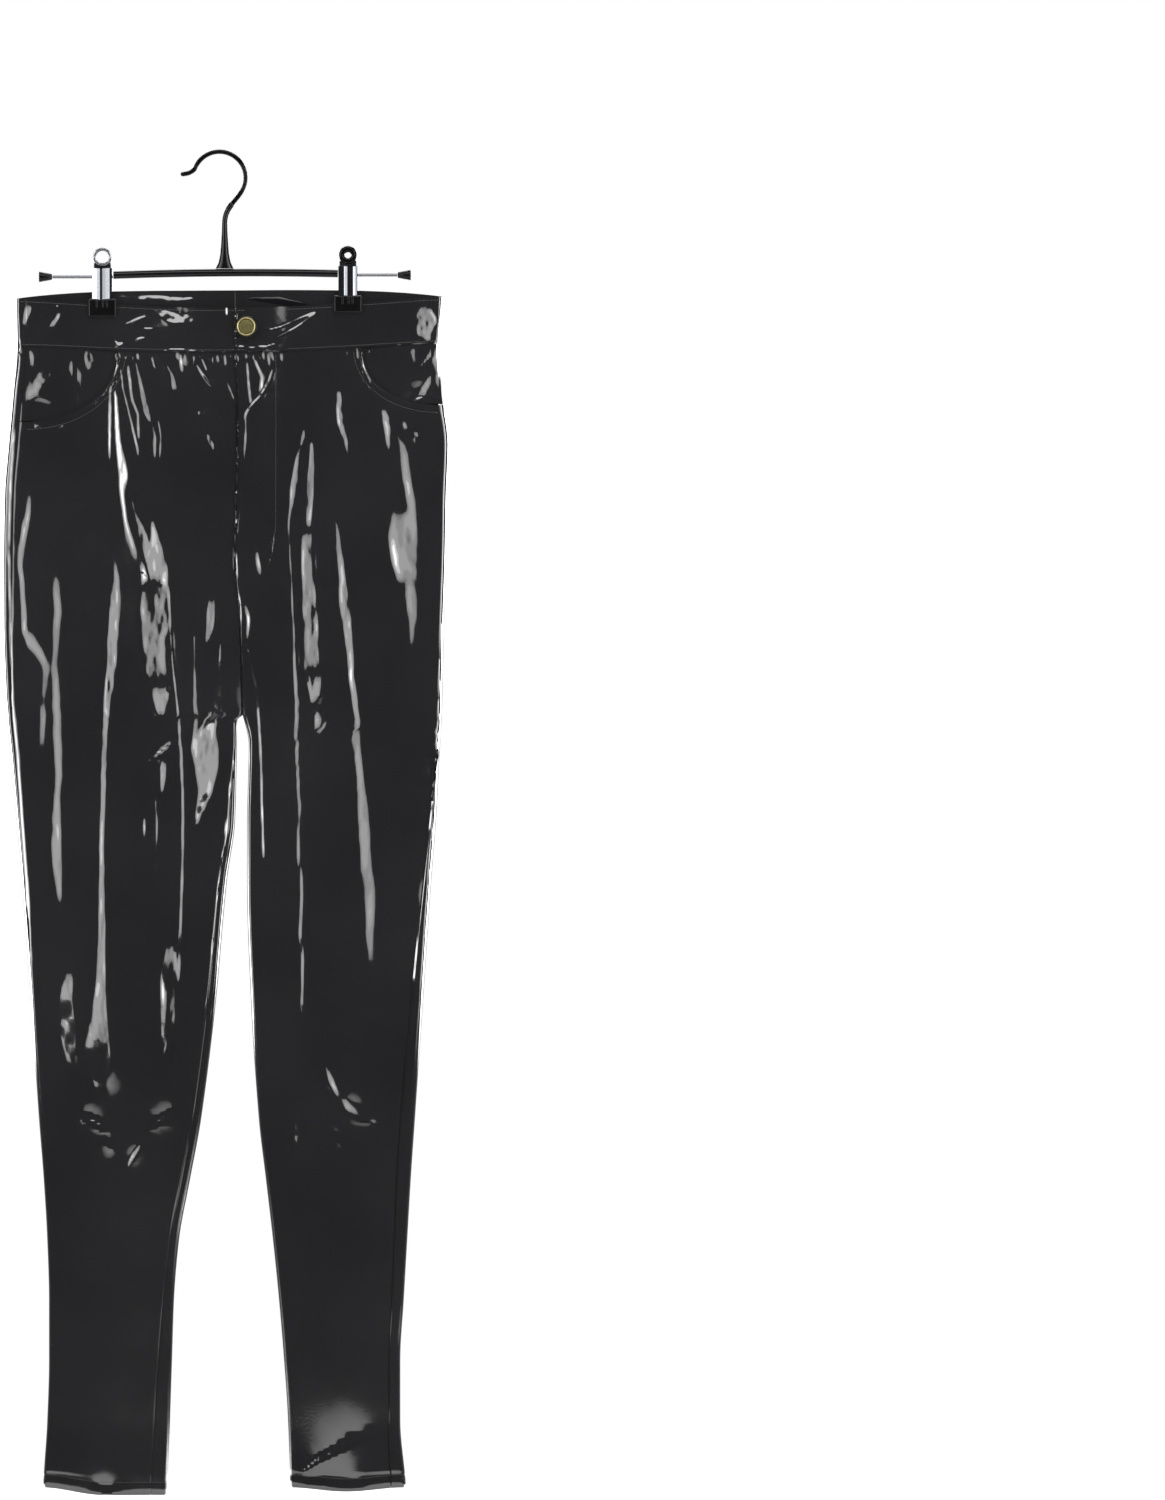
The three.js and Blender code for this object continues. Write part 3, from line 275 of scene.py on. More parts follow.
# Creases. Each is a line on a drawing of its own side of the trousers, x to the right and y down, with
# its width at each point, all in drawing units. Where the cloth tilts to one side in a crease, it shines.
# "l" and "r" tilt to the viewer's left and right, "u" and "d" up and down.
SOFT = 0.25      # tilt of a broad grey shine
CRISP = 0.44     # tilt of a narrow white one
LIP_TILT = 0.19  # more tilt along a broad crease's edges
BRIGHT = 0.35    # tilt of a creased patch that shines nearly white
LEAST_WIDTH = 1.7     # mm, the narrowest crease
DRAWINGS = {
    "front": {"unit": 0.857, "x": 219.4, "y": 154.0, "way": 1},
    "back": {"unit": 0.830, "x": 932.0, "y": 150.0, "way": -1},
}
CREASES = {"front": [
    ("r", CRISP, [(120, 362, 1), (123, 387, 2), (131, 420, 2), (138, 450, 3), (139, 458, 1)]),
    ("l", CRISP, [(128, 364, 1), (132, 399, 2), (138, 414, 2), (139, 440, 2)]),
    ("r", SOFT, [(135, 358, 2), (140, 381, 5), (147, 412, 7), (153, 426, 4), (154, 440, 6), (155, 462, 4)]),
    ("r", CRISP, [(158, 418, 1), (161, 435, 2), (160, 462, 1)]),
    ("l", CRISP, [(115, 390, 2), (117, 420, 4), (119, 442, 5), (122, 462, 8), (124, 478, 9), (122, 492, 4),
                  (126, 522, 3), (132, 542, 3), (137, 556, 2)]),
    ("r", SOFT, [(129, 488, 2), (136, 515, 4), (143, 535, 10), (148, 552, 12), (150, 565, 6)]),
    ("l", CRISP, [(110, 380, 1), (110, 412, 3), (110, 460, 2)]),
    ("r", BRIGHT, [(152, 520, 3), (157, 545, 12), (158, 565, 20), (156, 580, 26)]),
    ("l", CRISP, [(142, 566, 4), (146, 578, 8), (140, 590, 4)]), ("r", CRISP, [(166, 566, 4), (164, 590, 7)]),
    ("r", SOFT, [(155, 584, 28), (155, 604, 30), (155, 625, 30), (156, 655, 24), (158, 680, 22)]),
    ("r", BRIGHT, [(160, 686, 20), (161, 700, 16), (161, 716, 6)]),
    ("r", CRISP, [(169, 588, 2), (171, 625, 2), (173, 663, 2), (177, 700, 2), (180, 726, 3), (181, 745, 3),
                  (183, 790, 2), (183, 843, 2), (182, 900, 2), (179, 984, 1)]),
    ("l", SOFT, [(164, 760, 8), (164, 780, 6), (162, 795, 2)]),
    ("l", SOFT, [(156, 795, 2), (157, 830, 3), (156, 874, 1)]),
    ("r", CRISP, [(145, 816, 2), (145, 828, 3), (145, 838, 1)]),
    ("l", SOFT, [(116, 564, 2), (116, 585, 6), (114, 607, 8), (113, 635, 10), (112, 663, 9), (110, 680, 8),
                 (108, 700, 7), (105, 733, 5), (104, 792, 5), (103, 850, 5), (103, 900, 6), (102, 945, 7),
                 (101, 985, 10), (99, 1020, 18), (98, 1045, 24), (100, 1068, 22), (103, 1087, 14)]),
    ("l", SOFT, [(31, 494, 2), (25, 525, 6), (20, 566, 4), (24, 600, 4), (25, 631, 5), (33, 643, 12),
                 (42, 656, 8),
                 (47, 669, 4), (44, 701, 3)]),
    ("l", SOFT, [(43, 704, 4), (42, 722, 4), (40, 751, 2)]),
    ("l", SOFT, [(57, 578, 4), (58, 604, 6), (54, 666, 4), (58, 704, 6), (60, 748, 7), (58, 792, 4),
                 (56, 815, 7),
                 (57, 850, 9), (60, 900, 4)]),
    ("r", SOFT, [(212, 596, 8), (211, 620, 10), (208, 646, 5)]),
    ("r", SOFT, [(195, 630, 3), (195, 690, 4), (197, 722, 6), (197, 752, 10)]),
    ("r", CRISP, [(221, 640, 1), (219, 680, 3), (217, 704, 5), (218, 722, 7)]),
    ("r", BRIGHT, [(213, 712, 8), (208, 732, 18), (206, 748, 26), (207, 768, 22), (206, 792, 14),
                 (201, 810, 8),
                   (196, 824, 3)]),
    ("r", SOFT, [(172, 944, 10), (170, 975, 16), (169, 1010, 14), (166, 1053, 6)]),
    ("l", SOFT, [(70, 976, 8), (66, 1000, 12), (68, 1035, 16), (72, 1061, 8)]),
    ("l", CRISP, [(9, 552, 1), (11, 640, 2), (13, 704, 2), (18, 751, 2), (23, 820, 2), (29, 900, 2),
                 (31, 960, 1)]),
    ("l", CRISP, [(14, 430, 1), (11, 480, 2), (9, 545, 1)]),
    ("r", CRISP, [(230, 783, 2), (230, 795, 3)]), ("r", CRISP, [(227, 820, 2), (226, 834, 3)]),
    ("r", CRISP, [(223, 850, 2), (223, 862, 3)]), ("r", CRISP, [(219, 882, 2), (218, 896, 2)]),
    ("r", CRISP, [(213, 940, 1), (212, 952, 2)]), ("r", CRISP, [(207, 1000, 1), (206, 1012, 2)]),
    ("l", CRISP, [(72, 355, 2), (71, 369, 4), (75, 390, 2), (78, 410, 2)]),
    ("r", CRISP, [(75, 357, 2), (79, 376, 2), (84, 395, 2)]),
    ("r", CRISP, [(83, 351, 2), (87, 361, 3), (91, 370, 1)]), ("r", CRISP, [(101, 354, 2), (105, 366, 2)]),
    ("l", CRISP, [(36, 353, 2), (31, 367, 2)]), ("l", CRISP, [(30, 378, 1), (25, 406, 2)]),
    ("l", SOFT, [(44, 369, 6), (37, 383, 7), (28, 403, 4), (23, 415, 1)]),
    ("l", CRISP, [(54, 365, 2), (51, 374, 3), (40, 388, 2), (37, 398, 2)]),
    ("l", SOFT, [(29, 306, 7), (27, 315, 6), (23, 326, 2)]),
    ("l", SOFT, [(62, 311, 3), (57, 318, 6), (50, 329, 6)]),
    ("l", SOFT, [(226, 378, 1), (230, 390, 4), (236, 404, 2)]),
    ("r", CRISP, [(194, 360, 2), (203, 375, 4), (213, 389, 3)]), ("r", CRISP, [(201, 356, 2), (208, 373, 3)]),
    ("r", CRISP, [(212, 407, 1), (226, 424, 2)]), ("r", SOFT, [(164, 359, 2), (172, 375, 5), (176, 393, 8)]),
    ("r", CRISP, [(150, 356, 2), (158, 373, 2)]), ("r", SOFT, [(199, 408, 4), (201, 418, 6)]),
    ("r", SOFT, [(208, 432, 4), (212, 448, 7), (214, 452, 2)]),
    ("l", CRISP, [(227, 306, 2), (227, 317, 3)]), ("l", CRISP, [(237, 313, 5), (236, 321, 3)]),
    ("r", CRISP, [(247, 362, 2), (249, 386, 2), (251, 405, 2)]),
    ("r", CRISP, [(252, 354, 2), (257, 366, 3), (262, 377, 2), (261, 390, 4), (259, 400, 2)]),
    ("l", CRISP, [(274, 367, 3), (269, 381, 3), (260, 397, 4), (253, 404, 3), (246, 414, 3), (244, 421, 3)]),
    ("l", SOFT, [(246, 414, 2), (246, 440, 4), (243, 480, 2), (240, 520, 2), (238, 540, 2)]),
    ("l", CRISP, [(237, 556, 2), (238, 576, 3)]), ("r", CRISP, [(257, 554, 3), (261, 573, 3)]),
    ("l", CRISP, [(275, 530, 1), (273, 551, 2), (262, 590, 1)]),
    ("l", CRISP, [(240, 596, 4), (240, 622, 2)]), ("r", CRISP, [(245, 606, 3), (249, 618, 4), (247, 642, 2)]),
    ("l", CRISP, [(247, 645, 2), (257, 690, 2), (261, 748, 2), (263, 821, 2), (264, 858, 1)]),
    ("l", SOFT, [(300, 445, 2), (298, 460, 5), (295, 484, 9), (291, 513, 4), (289, 528, 3), (292, 587, 3),
                 (295, 645, 4), (298, 704, 5), (297, 763, 4), (299, 821, 4), (301, 915, 4), (303, 1015, 3)]),
    ("l", SOFT, [(297, 1114, 2), (297, 1130, 5), (297, 1157, 2)]),
    ("l", SOFT, [(304, 427, 3), (303, 438, 5), (301, 450, 2)]),
    ("l", SOFT, [(312, 440, 4), (312, 460, 6), (310, 484, 9), (308, 527, 7)]),
    ("l", SOFT, [(307, 532, 12), (308, 566, 12), (310, 604, 16), (311, 645, 17), (313, 672, 18)]),
    ("l", SOFT, [(314, 675, 17), (316, 690, 14), (315, 703, 8)]),
    ("l", SOFT, [(318, 712, 8), (322, 722, 14), (318, 736, 4)]),
    ("r", SOFT, [(336, 518, 2), (340, 557, 5), (345, 604, 9), (349, 645, 7), (354, 689, 6), (357, 719, 5),
                 (355, 742, 9), (361, 777, 7), (363, 807, 11), (366, 851, 11), (369, 900, 11), (370, 935, 7),
                 (372, 972, 3)]),
    ("r", SOFT, [(339, 390, 5), (341, 423, 7), (347, 450, 3)]), ("r", SOFT, [(346, 438, 3), (348, 458, 2)]),
    ("r", SOFT, [(384, 409, 5), (386, 426, 7), (390, 450, 2)]),
    ("r", SOFT, [(398, 433, 2), (402, 446, 5), (408, 475, 8), (411, 516, 6)]),
    ("r", SOFT, [(404, 514, 24), (403, 540, 28), (405, 562, 26), (408, 580, 18)]),
    ("r", SOFT, [(412, 583, 8), (413, 602, 9), (411, 625, 4), (412, 646, 2)]),
    ("r", CRISP, [(404, 420, 2), (406, 430, 4)]), ("l", CRISP, [(426, 431, 2), (420, 439, 3), (418, 450, 2)]),
    ("r", CRISP, [(415, 431, 2), (419, 438, 3)]),
    ("r", SOFT, [(384, 352, 4), (387, 363, 6), (394, 370, 2)]), ("r", CRISP, [(393, 355, 3), (398, 370, 4)]),
    ("l", SOFT, [(434, 344, 7), (429, 356, 7), (421, 366, 6), (411, 377, 2)]),
    ("l", SOFT, [(431, 373, 4), (427, 384, 9), (420, 396, 12), (411, 403, 7)]),
    ("r", SOFT, [(424, 308, 14), (427, 320, 22), (424, 334, 14), (428, 341, 6)]),
    ("l", CRISP, [(434, 755, 1), (432, 807, 2), (426, 865, 2), (420, 920, 2), (412, 990, 1)]),
    ("r", CRISP, [(324, 1064, 2), (331, 1080, 5), (340, 1096, 3)]),
    ("r", SOFT, [(340, 1096, 6), (358, 1110, 8)]),
    ("l", CRISP, [(142, 1144, 3), (134, 1154, 5), (127, 1167, 2)]),
], "back": [
    ("l", CRISP, [(706, 350, 1), (705, 391, 2), (704, 490, 3), (706, 560, 2), (707, 620, 3), (707, 673, 1)]),
    ("l", SOFT, [(716, 556, 2), (718, 600, 6), (717, 641, 9), (724, 689, 8), (731, 705, 14), (738, 728, 10),
                 (739, 753, 5), (739, 823, 2), (739, 887, 2), (744, 935, 1)]),
    ("l", SOFT, [(768, 512, 20), (766, 530, 40), (768, 560, 34), (766, 585, 20), (766, 600, 10),
                 (768, 620, 6)]),
    ("l", SOFT, [(804, 470, 2), (795, 485, 8), (789, 496, 6)]), ("l", CRISP, [(755, 650, 2), (750, 676, 4)]),
    ("l", SOFT, [(837, 500, 10), (832, 535, 15), (825, 565, 18), (818, 592, 22), (819, 620, 16),
                 (818, 660, 22),
                 (818, 696, 24), (816, 728, 14), (818, 759, 16), (819, 791, 20), (821, 823, 20),
                 (821, 849, 16),
                 (818, 887, 8), (819, 919, 5), (819, 983, 2)]),
    ("l", SOFT, [(870, 366, 2), (867, 385, 4), (864, 430, 6), (862, 490, 8), (861, 535, 12), (862, 565, 9),
                 (859, 620, 7), (858, 640, 6), (855, 664, 12), (857, 683, 14), (862, 705, 12), (860, 737, 9),
                 (859, 772, 6)]),
    ("l", SOFT, [(849, 794, 12), (849, 814, 14)]), ("r", SOFT, [(860, 836, 5), (864, 862, 3)]),
    ("l", SOFT, [(763, 788, 6), (765, 817, 12), (766, 830, 20), (765, 870, 26), (765, 905, 22),
                 (764, 930, 8)]),
    ("l", CRISP, [(771, 764, 2), (770, 780, 5)]), ("r", CRISP, [(883, 427, 2), (883, 452, 3)]),
    ("r", CRISP, [(888, 472, 1), (891, 550, 2), (897, 620, 2), (900, 700, 1)]),
    ("r", CRISP, [(898, 496, 2), (904, 541, 3), (911, 600, 3), (910, 632, 3), (915, 680, 7), (913, 721, 8),
                  (918, 779, 5), (916, 806, 2)]),
    ("r", CRISP, [(936, 346, 1), (934, 390, 2), (930, 430, 3), (925, 490, 5), (921, 520, 5), (921, 560, 4),
                  (924, 620, 3), (926, 660, 2)]),
    ("r", CRISP, [(924, 680, 3), (926, 708, 3), (934, 740, 3), (934, 772, 2), (924, 798, 3), (921, 834, 2)]),
    ("l", CRISP, [(942, 451, 1), (948, 472, 2), (945, 530, 2)]), ("l", CRISP, [(937, 562, 2), (940, 600, 2)]),
    ("l", CRISP, [(941, 616, 2), (950, 664, 3), (952, 736, 2)]),
    ("l", CRISP, [(956, 753, 2), (955, 798, 3), (960, 828, 2)]),
    ("l", SOFT, [(947, 358, 6), (948, 372, 6)]), ("l", CRISP, [(996, 343, 2), (988, 362, 3), (980, 391, 1)]),
    ("l", SOFT, [(1003, 440, 3), (1004, 458, 4), (1006, 466, 6), (1003, 503, 4)]),
    ("l", CRISP, [(996, 523, 1), (996, 560, 2), (994, 600, 3), (998, 626, 12), (996, 664, 8), (998, 696, 5),
                  (1002, 734, 8), (998, 766, 6), (1001, 798, 7), (1005, 823, 4), (1006, 862, 3)]),
    ("r", SOFT, [(1024, 436, 5), (1023, 460, 14), (1025, 490, 18), (1028, 510, 34), (1028, 540, 34),
                 (1036, 560, 20), (1039, 590, 18), (1036, 620, 20)]),
    ("r", SOFT, [(1014, 550, 16), (1012, 572, 16), (1008, 588, 6)]),
    ("r", SOFT, [(1044, 632, 14), (1043, 652, 34), (1044, 690, 34), (1036, 716, 26), (1028, 744, 24),
                 (1025, 779, 26), (1022, 800, 26), (1016, 830, 20), (1007, 856, 8)]),
    ("r", SOFT, [(1071, 600, 16), (1074, 664, 20), (1076, 712, 24), (1076, 753, 20), (1073, 791, 20),
                 (1070, 824, 12)]),
    ("r", SOFT, [(1025, 849, 7), (1022, 887, 6), (1019, 919, 8)]),
    ("r", SOFT, [(1009, 878, 8), (1009, 900, 8)]),
    ("r", SOFT, [(1015, 932, 8), (1017, 960, 6)]), ("r", SOFT, [(1014, 966, 6), (1014, 990, 8)]),
    ("r", SOFT, [(1016, 996, 8), (1018, 1008, 12), (1020, 1024, 12)]),
    ("r", SOFT, [(1072, 514, 8), (1072, 550, 12), (1072, 598, 14)]),
    ("r", SOFT, [(1129, 562, 6), (1134, 592, 14), (1131, 610, 10), (1130, 657, 16), (1130, 696, 12),
                 (1128, 744, 7),
                 (1127, 791, 11), (1127, 823, 8), (1124, 871, 5), (1125, 919, 5), (1121, 972, 3)]),
    ("r", CRISP, [(1118, 985, 2), (1115, 1014, 4)]), ("r", CRISP, [(1084, 803, 4), (1086, 838, 7)]),
    ("r", SOFT, [(1076, 836, 10), (1077, 882, 5)]),
    ("r", SOFT, [(1077, 893, 5), (1074, 915, 6), (1069, 940, 3)]),
    ("r", CRISP, [(1065, 854, 3), (1069, 887, 4)]), ("r", SOFT, [(1101, 734, 4), (1100, 780, 5)]),
    ("l", SOFT, [(763, 352, 8), (767, 368, 8)]), ("r", CRISP, [(781, 1158, 4), (785, 1170, 8)]),
    ("l", CRISP, [(826, 1484, 10), (822, 1494, 8)]), ("r", CRISP, [(1076, 1480, 14), (1070, 1494, 20)]),
]}
# Creases that run across: their points go from left to right
LEVEL_CREASES = {"front": [
    ("u", CRISP, [(123, 325, 1), (137, 319, 3), (149, 315, 2)]), ("u", CRISP, [(141, 328, 2), (156, 329, 2)]),
    ("u", SOFT, [(150, 309, 3), (158, 312, 7), (166, 316, 14), (180, 318, 14), (192, 319, 10),
                 (198, 320, 6)]),
    ("u", CRISP, [(131, 346, 2), (137, 339, 3), (147, 337, 2)]),
    ("u", CRISP, [(112, 336, 3), (118, 345, 4), (125, 342, 2)]),
    ("u", CRISP, [(159, 352, 1), (173, 349, 2), (187, 350, 2), (213, 353, 1)]),
    ("u", CRISP, [(21, 345, 1), (32, 346, 2)]), ("u", CRISP, [(54, 306, 2), (61, 307, 2)]),
    ("u", CRISP, [(41, 400, 2), (46, 393, 2), (56, 392, 3), (62, 400, 2), (67, 413, 2)]),
    ("d", CRISP, [(37, 399, 2), (49, 403, 2), (54, 415, 1)]),
    ("u", CRISP, [(216, 426, 1), (226, 430, 3)]), ("u", SOFT, [(203, 424, 4), (208, 421, 5)]),
    ("u", CRISP, [(266, 331, 2), (281, 327, 2), (298, 319, 2), (317, 311, 3)]),
    ("u", CRISP, [(273, 340, 2), (286, 333, 2), (298, 326, 3), (317, 312, 2)]),
    ("u", CRISP, [(236, 347, 2), (252, 348, 2), (266, 347, 2), (279, 343, 2)]),
    ("u", CRISP, [(325, 310, 1), (336, 301, 2)]), ("u", CRISP, [(396, 347, 3), (403, 351, 3)]),
    ("u", SOFT, [(385, 381, 1), (394, 375, 2)]),
    ("u", SOFT, [(126, 756, 6), (130, 764, 10), (138, 766, 6), (150, 760, 4)]),
    ("u", CRISP, [(146, 763, 2), (158, 753, 7), (170, 744, 6), (180, 740, 2)]),
    ("u", CRISP, [(318, 725, 1), (326, 719, 3), (334, 715, 1)]),
    ("u", CRISP, [(80, 1114, 3), (92, 1120, 8), (104, 1126, 6), (114, 1127, 2)]),
    ("u", CRISP, [(100, 1138, 2), (110, 1143, 5), (116, 1147, 2)]),
    ("u", CRISP, [(145, 1127, 3), (160, 1120, 7), (175, 1111, 3)]),
    ("u", SOFT, [(340, 1102, 6), (356, 1112, 12), (376, 1120, 3)]),
    ("u", CRISP, [(327, 1131, 1), (344, 1141, 4)]),
    ("u", CRISP, [(127, 1271, 1), (143, 1269, 2)]),
    ("u", CRISP, [(302, 1471, 2), (316, 1460, 4), (334, 1450, 5), (354, 1441, 4), (374, 1435, 2)]),
    ("u", SOFT, [(306, 1482, 3), (326, 1480, 7), (346, 1483, 7), (362, 1484, 3)]),
    ("u", CRISP, [(94, 1487, 2), (104, 1490, 5), (116, 1491, 2)]),
], "back": [
    ("d", SOFT, [(954, 299, 4), (985, 300, 7), (1015, 298, 7), (1042, 296, 4)]),    # shines on the inside
    ("d", CRISP, [(893, 299, 2), (905, 298, 3)]), ("d", CRISP, [(868, 303, 1), (884, 299, 2)]),
    ("u", CRISP, [(721, 323, 2), (744, 313, 2), (766, 306, 1)]), ("u", CRISP, [(733, 322, 1), (744, 318, 2)]),
    ("u", CRISP, [(754, 332, 3), (777, 322, 3), (806, 326, 2)]),
    ("u", CRISP, [(714, 344, 2), (780, 340, 3), (819, 330, 3), (870, 325, 2), (921, 309, 2)]),
    ("u", SOFT, [(831, 311, 4), (845, 306, 8), (870, 301, 9), (906, 299, 3)]),
    ("u", CRISP, [(846, 335, 2), (882, 328, 3), (936, 321, 1)]),
    ("u", CRISP, [(942, 334, 2), (960, 334, 4), (978, 336, 3), (996, 331, 1)]),
    ("u", CRISP, [(1011, 323, 2), (1035, 318, 2), (1060, 318, 2), (1078, 322, 3)]),
    ("u", CRISP, [(1041, 320, 2), (1080, 336, 3), (1134, 347, 2)]),
    ("u", SOFT, [(1096, 336, 3), (1108, 334, 9), (1124, 340, 7), (1132, 343, 2)]),
    ("u", SOFT, [(1112, 309, 4), (1124, 307, 5), (1138, 308, 3)]),
    ("u", CRISP, [(789, 360, 5), (797, 362, 7)]), ("u", CRISP, [(808, 362, 5), (822, 361, 7)]),
    ("u", CRISP, [(798, 371, 1), (812, 373, 3), (826, 366, 2)]),
    ("u", CRISP, [(1046, 382, 2), (1060, 385, 3)]),
    ("u", CRISP, [(780, 1166, 4), (790, 1170, 6)]),
    ("u", SOFT, [(1044, 1484, 3), (1064, 1480, 6), (1086, 1479, 4)]),
]}

GRID_STEP = 0.75
GRID_X = -196.0 + GRID_STEP * np.arange(540)
GRID_Z = -104.0 - np.arange(1080)
SHINE_EDGE = (0.74, 1.26)    # a crease's tilt fades between these shares of its half width
DARK_TILT = 0.085            # between creases the cloth tilts this little, so that it reflects the dark room
MOST_TILT = 0.125            # and where the creases pull it, no more than this
GIVE = 0.05                  # it gives way this much more easily than a crease
LAP_STEP = 0.9               # a tilt above this is the lap's own step
BROAD_CALM = 0.10            # a broad crease tilts this share less than a narrow one


def blurred(field, width_x, width_z):
    """Field on the grid smoothed by a Gaussian of these widths in millimetres"""
    pad_z, pad_x = 120, 120
    wide = np.pad(field, ((pad_z, pad_z), (pad_x, pad_x)), mode="edge")
    fz = np.fft.fftfreq(wide.shape[0], 1.0)[:, None]
    fx = np.fft.rfftfreq(wide.shape[1], GRID_STEP)[None]
    keep = np.exp(-2 * math.pi ** 2 * ((fx * width_x) ** 2 + (fz * width_z) ** 2))
    out = np.fft.irfft2(np.fft.rfft2(wide) * keep, wide.shape)
    return out[pad_z:-pad_z, pad_x:-pad_x]


def wrinkles(random, width_x, width_z, tilt):
    """Random soft wrinkles with this root mean square tilt across"""
    field = blurred(random.standard_normal((len(GRID_Z), len(GRID_X))), width_x, width_z)
    return field * tilt / np.std(np.gradient(field, GRID_STEP, axis=1))


def tilts(height):
    """Tilt across and up of a field of heights, between grid points"""
    return np.diff(height, axis=1) / GRID_STEP, -np.diff(height, axis=0)


def gathered(across, up):
    """What each grid point adds to two fields of tilts: the reverse of the step above"""
    out = np.zeros((across.shape[0], up.shape[1]))
    out[:, 1:] += across / GRID_STEP
    out[:, :-1] -= across / GRID_STEP
    out[:-1] += up
    out[1:] -= up
    return out


def fitted_height(height, targets, weights, hold, steps):
    """Heights whose tilts come closest to the targets, by conjugate gradients from a first guess"""
    rows, cols = height.shape
    fz = 2 - 2 * np.cos(2 * math.pi * np.fft.fftfreq(rows))[:, None]
    fx = (2 - 2 * np.cos(2 * math.pi * np.fft.rfftfreq(cols)))[None] / GRID_STEP ** 2
    ease = 1 / (0.2 * (fx + fz) + 2e-3)

    def pull(field):
        across, up = tilts(field)
        return gathered(weights[0] * across, weights[1] * up) + hold * field

    def eased(field):
        return np.fft.irfft2(np.fft.rfft2(field) * ease, field.shape)

    left = gathered(weights[0] * targets[0], weights[1] * targets[1]) - pull(height)
    better = eased(left)
    way = better
    gain = np.sum(left * better)
    for _ in range(steps):
        pulled = pull(way)
        step = gain / np.sum(way * pulled)
        height = height + step * way
        left = left - step * pulled
        better = eased(left)
        last, gain = gain, np.sum(left * better)
        way = better + gain / last * way
    return height


def form_on_grid(front):
    """The smooth form's depth over the grid, with the lap, and how far inside the silhouette each point is"""
    x, z = np.meshgrid(GRID_X, GRID_Z)
    depth = np.zeros_like(x)
    inside = np.zeros_like(x)
    for side in SIDES:
        outer, inner = edges_at(side, z)
        t = (x - outer) / (inner - outer)
        d, from_edge = form_depth(side, np.clip(t, 0, 1), x, z, front)
        here = (t > 0) & (t <= 1)
        if front:
            waist = z > waist_edge(WAIST_SEAM, x, True)
            d = d + np.where(waist, waist_lap(side, x), lap_lift(side, x, z, FLY_OVERLAP))
        depth = np.where(here, d, depth)
        from_fork = np.hypot(x - inner, np.maximum(0, z - FORK_Z))
        inside = np.where(here, np.minimum(from_edge, from_fork), inside)
    return depth, inside


def line_points(face, points):
    drawing = DRAWINGS[face]
    x = np.array([(p[0] - drawing["x"]) * drawing["unit"] * drawing["way"] for p in points])
    z = np.array([-(p[1] - drawing["y"]) * drawing["unit"] for p in points])
    return x, z, np.array([p[2] * drawing["unit"] for p in points])


def lips(off, side_noise):
    """Extra tilt at the two edges of a broad crease, where the cloth turns more sharply"""
    left = np.exp(-(((off + 0.80) / 0.20) ** 2)) * smooth(side_noise, -0.1, 0.9)
    right = np.exp(-(((off - 0.80) / 0.20) ** 2)) * smooth(-side_noise, -0.1, 0.9)
    return LIP_TILT * (left + right)


def tilt_fields(face, upright, level, base, inside, random):
    """Tilts across and up that the cloth should have, and each point's share of upright and level creases"""
    changes = random.standard_normal(len(GRID_Z) // 14 + 2)
    flat = smooth(inside, 3.0, 4.5)
    tilt_x, tilt_z = np.gradient(base, GRID_STEP, axis=1), -np.gradient(base, axis=0)
    tilt_x = lerp(tilt_x, np.clip(tilt_x, -DARK_TILT, DARK_TILT), flat)
    tilt_z = lerp(tilt_z, np.clip(tilt_z, -DARK_TILT, DARK_TILT), flat)
    stands, lies = np.zeros_like(base), np.zeros_like(base)
    way = DRAWINGS[face]["way"]
    for lean, tilt, points in upright:
        x, z, width = line_points(face, points)
        rows = np.nonzero((GRID_Z <= z[0]) & (GRID_Z >= z[-1]))[0]
        down = -GRID_Z[rows]
        centre = np.interp(down, -z, x)[:, None]
        half = np.maximum(np.interp(down, -z, width), LEAST_WIDTH)[:, None] / 2
        signed = (GRID_X[None] - centre) / half
        off = np.abs(signed)
        fade = min(3.0, 0.35 * (z[0] - z[-1]))
        end = smooth(np.minimum(GRID_Z[rows] - z[-1], z[0] - GRID_Z[rows]), 0, fade)[:, None]
        mask = (1 - smooth(off, *SHINE_EDGE)) * end
        noise = np.interp(down / 14, np.arange(len(changes)), changes)[:, None] + 0.4 * math.sin(x[0])
        steeper = lips(signed, noise) * smooth(half, 1.4, 2.6) if tilt < 0.3 else 0
        calm = 1 - BROAD_CALM * smooth(half, 4, 9)
        target = (tilt * calm + steeper) * (1 if lean == "l" else -1) * way
        tilt_x[rows] = lerp(tilt_x[rows], target, mask)
        stands[rows] = np.maximum(stands[rows], mask)
    for lean, tilt, points in level:
        x, z, width = line_points(face, points)
        order = np.argsort(x)
        x, z, width = x[order], z[order], width[order]
        cols = np.nonzero((GRID_X >= x[0]) & (GRID_X <= x[-1]))[0]
        centre = np.interp(GRID_X[cols], x, z)[None]
        half = np.maximum(np.interp(GRID_X[cols], x, width), LEAST_WIDTH)[None] / 2
        off = np.abs(GRID_Z[:, None] - centre) / half
        fade = min(3.0, 0.35 * (x[-1] - x[0]))
        end = smooth(np.minimum(GRID_X[cols] - x[0], x[-1] - GRID_X[cols]), 0, fade)[None]
        mask = (1 - smooth(off, *SHINE_EDGE)) * end
        target = 1.2 * tilt * (-1 if lean == "u" else 1)
        tilt_z[:, cols] = lerp(tilt_z[:, cols], target, mask)
        lies[:, cols] = np.maximum(lies[:, cols], mask)
    return tilt_x, tilt_z, stands, lies


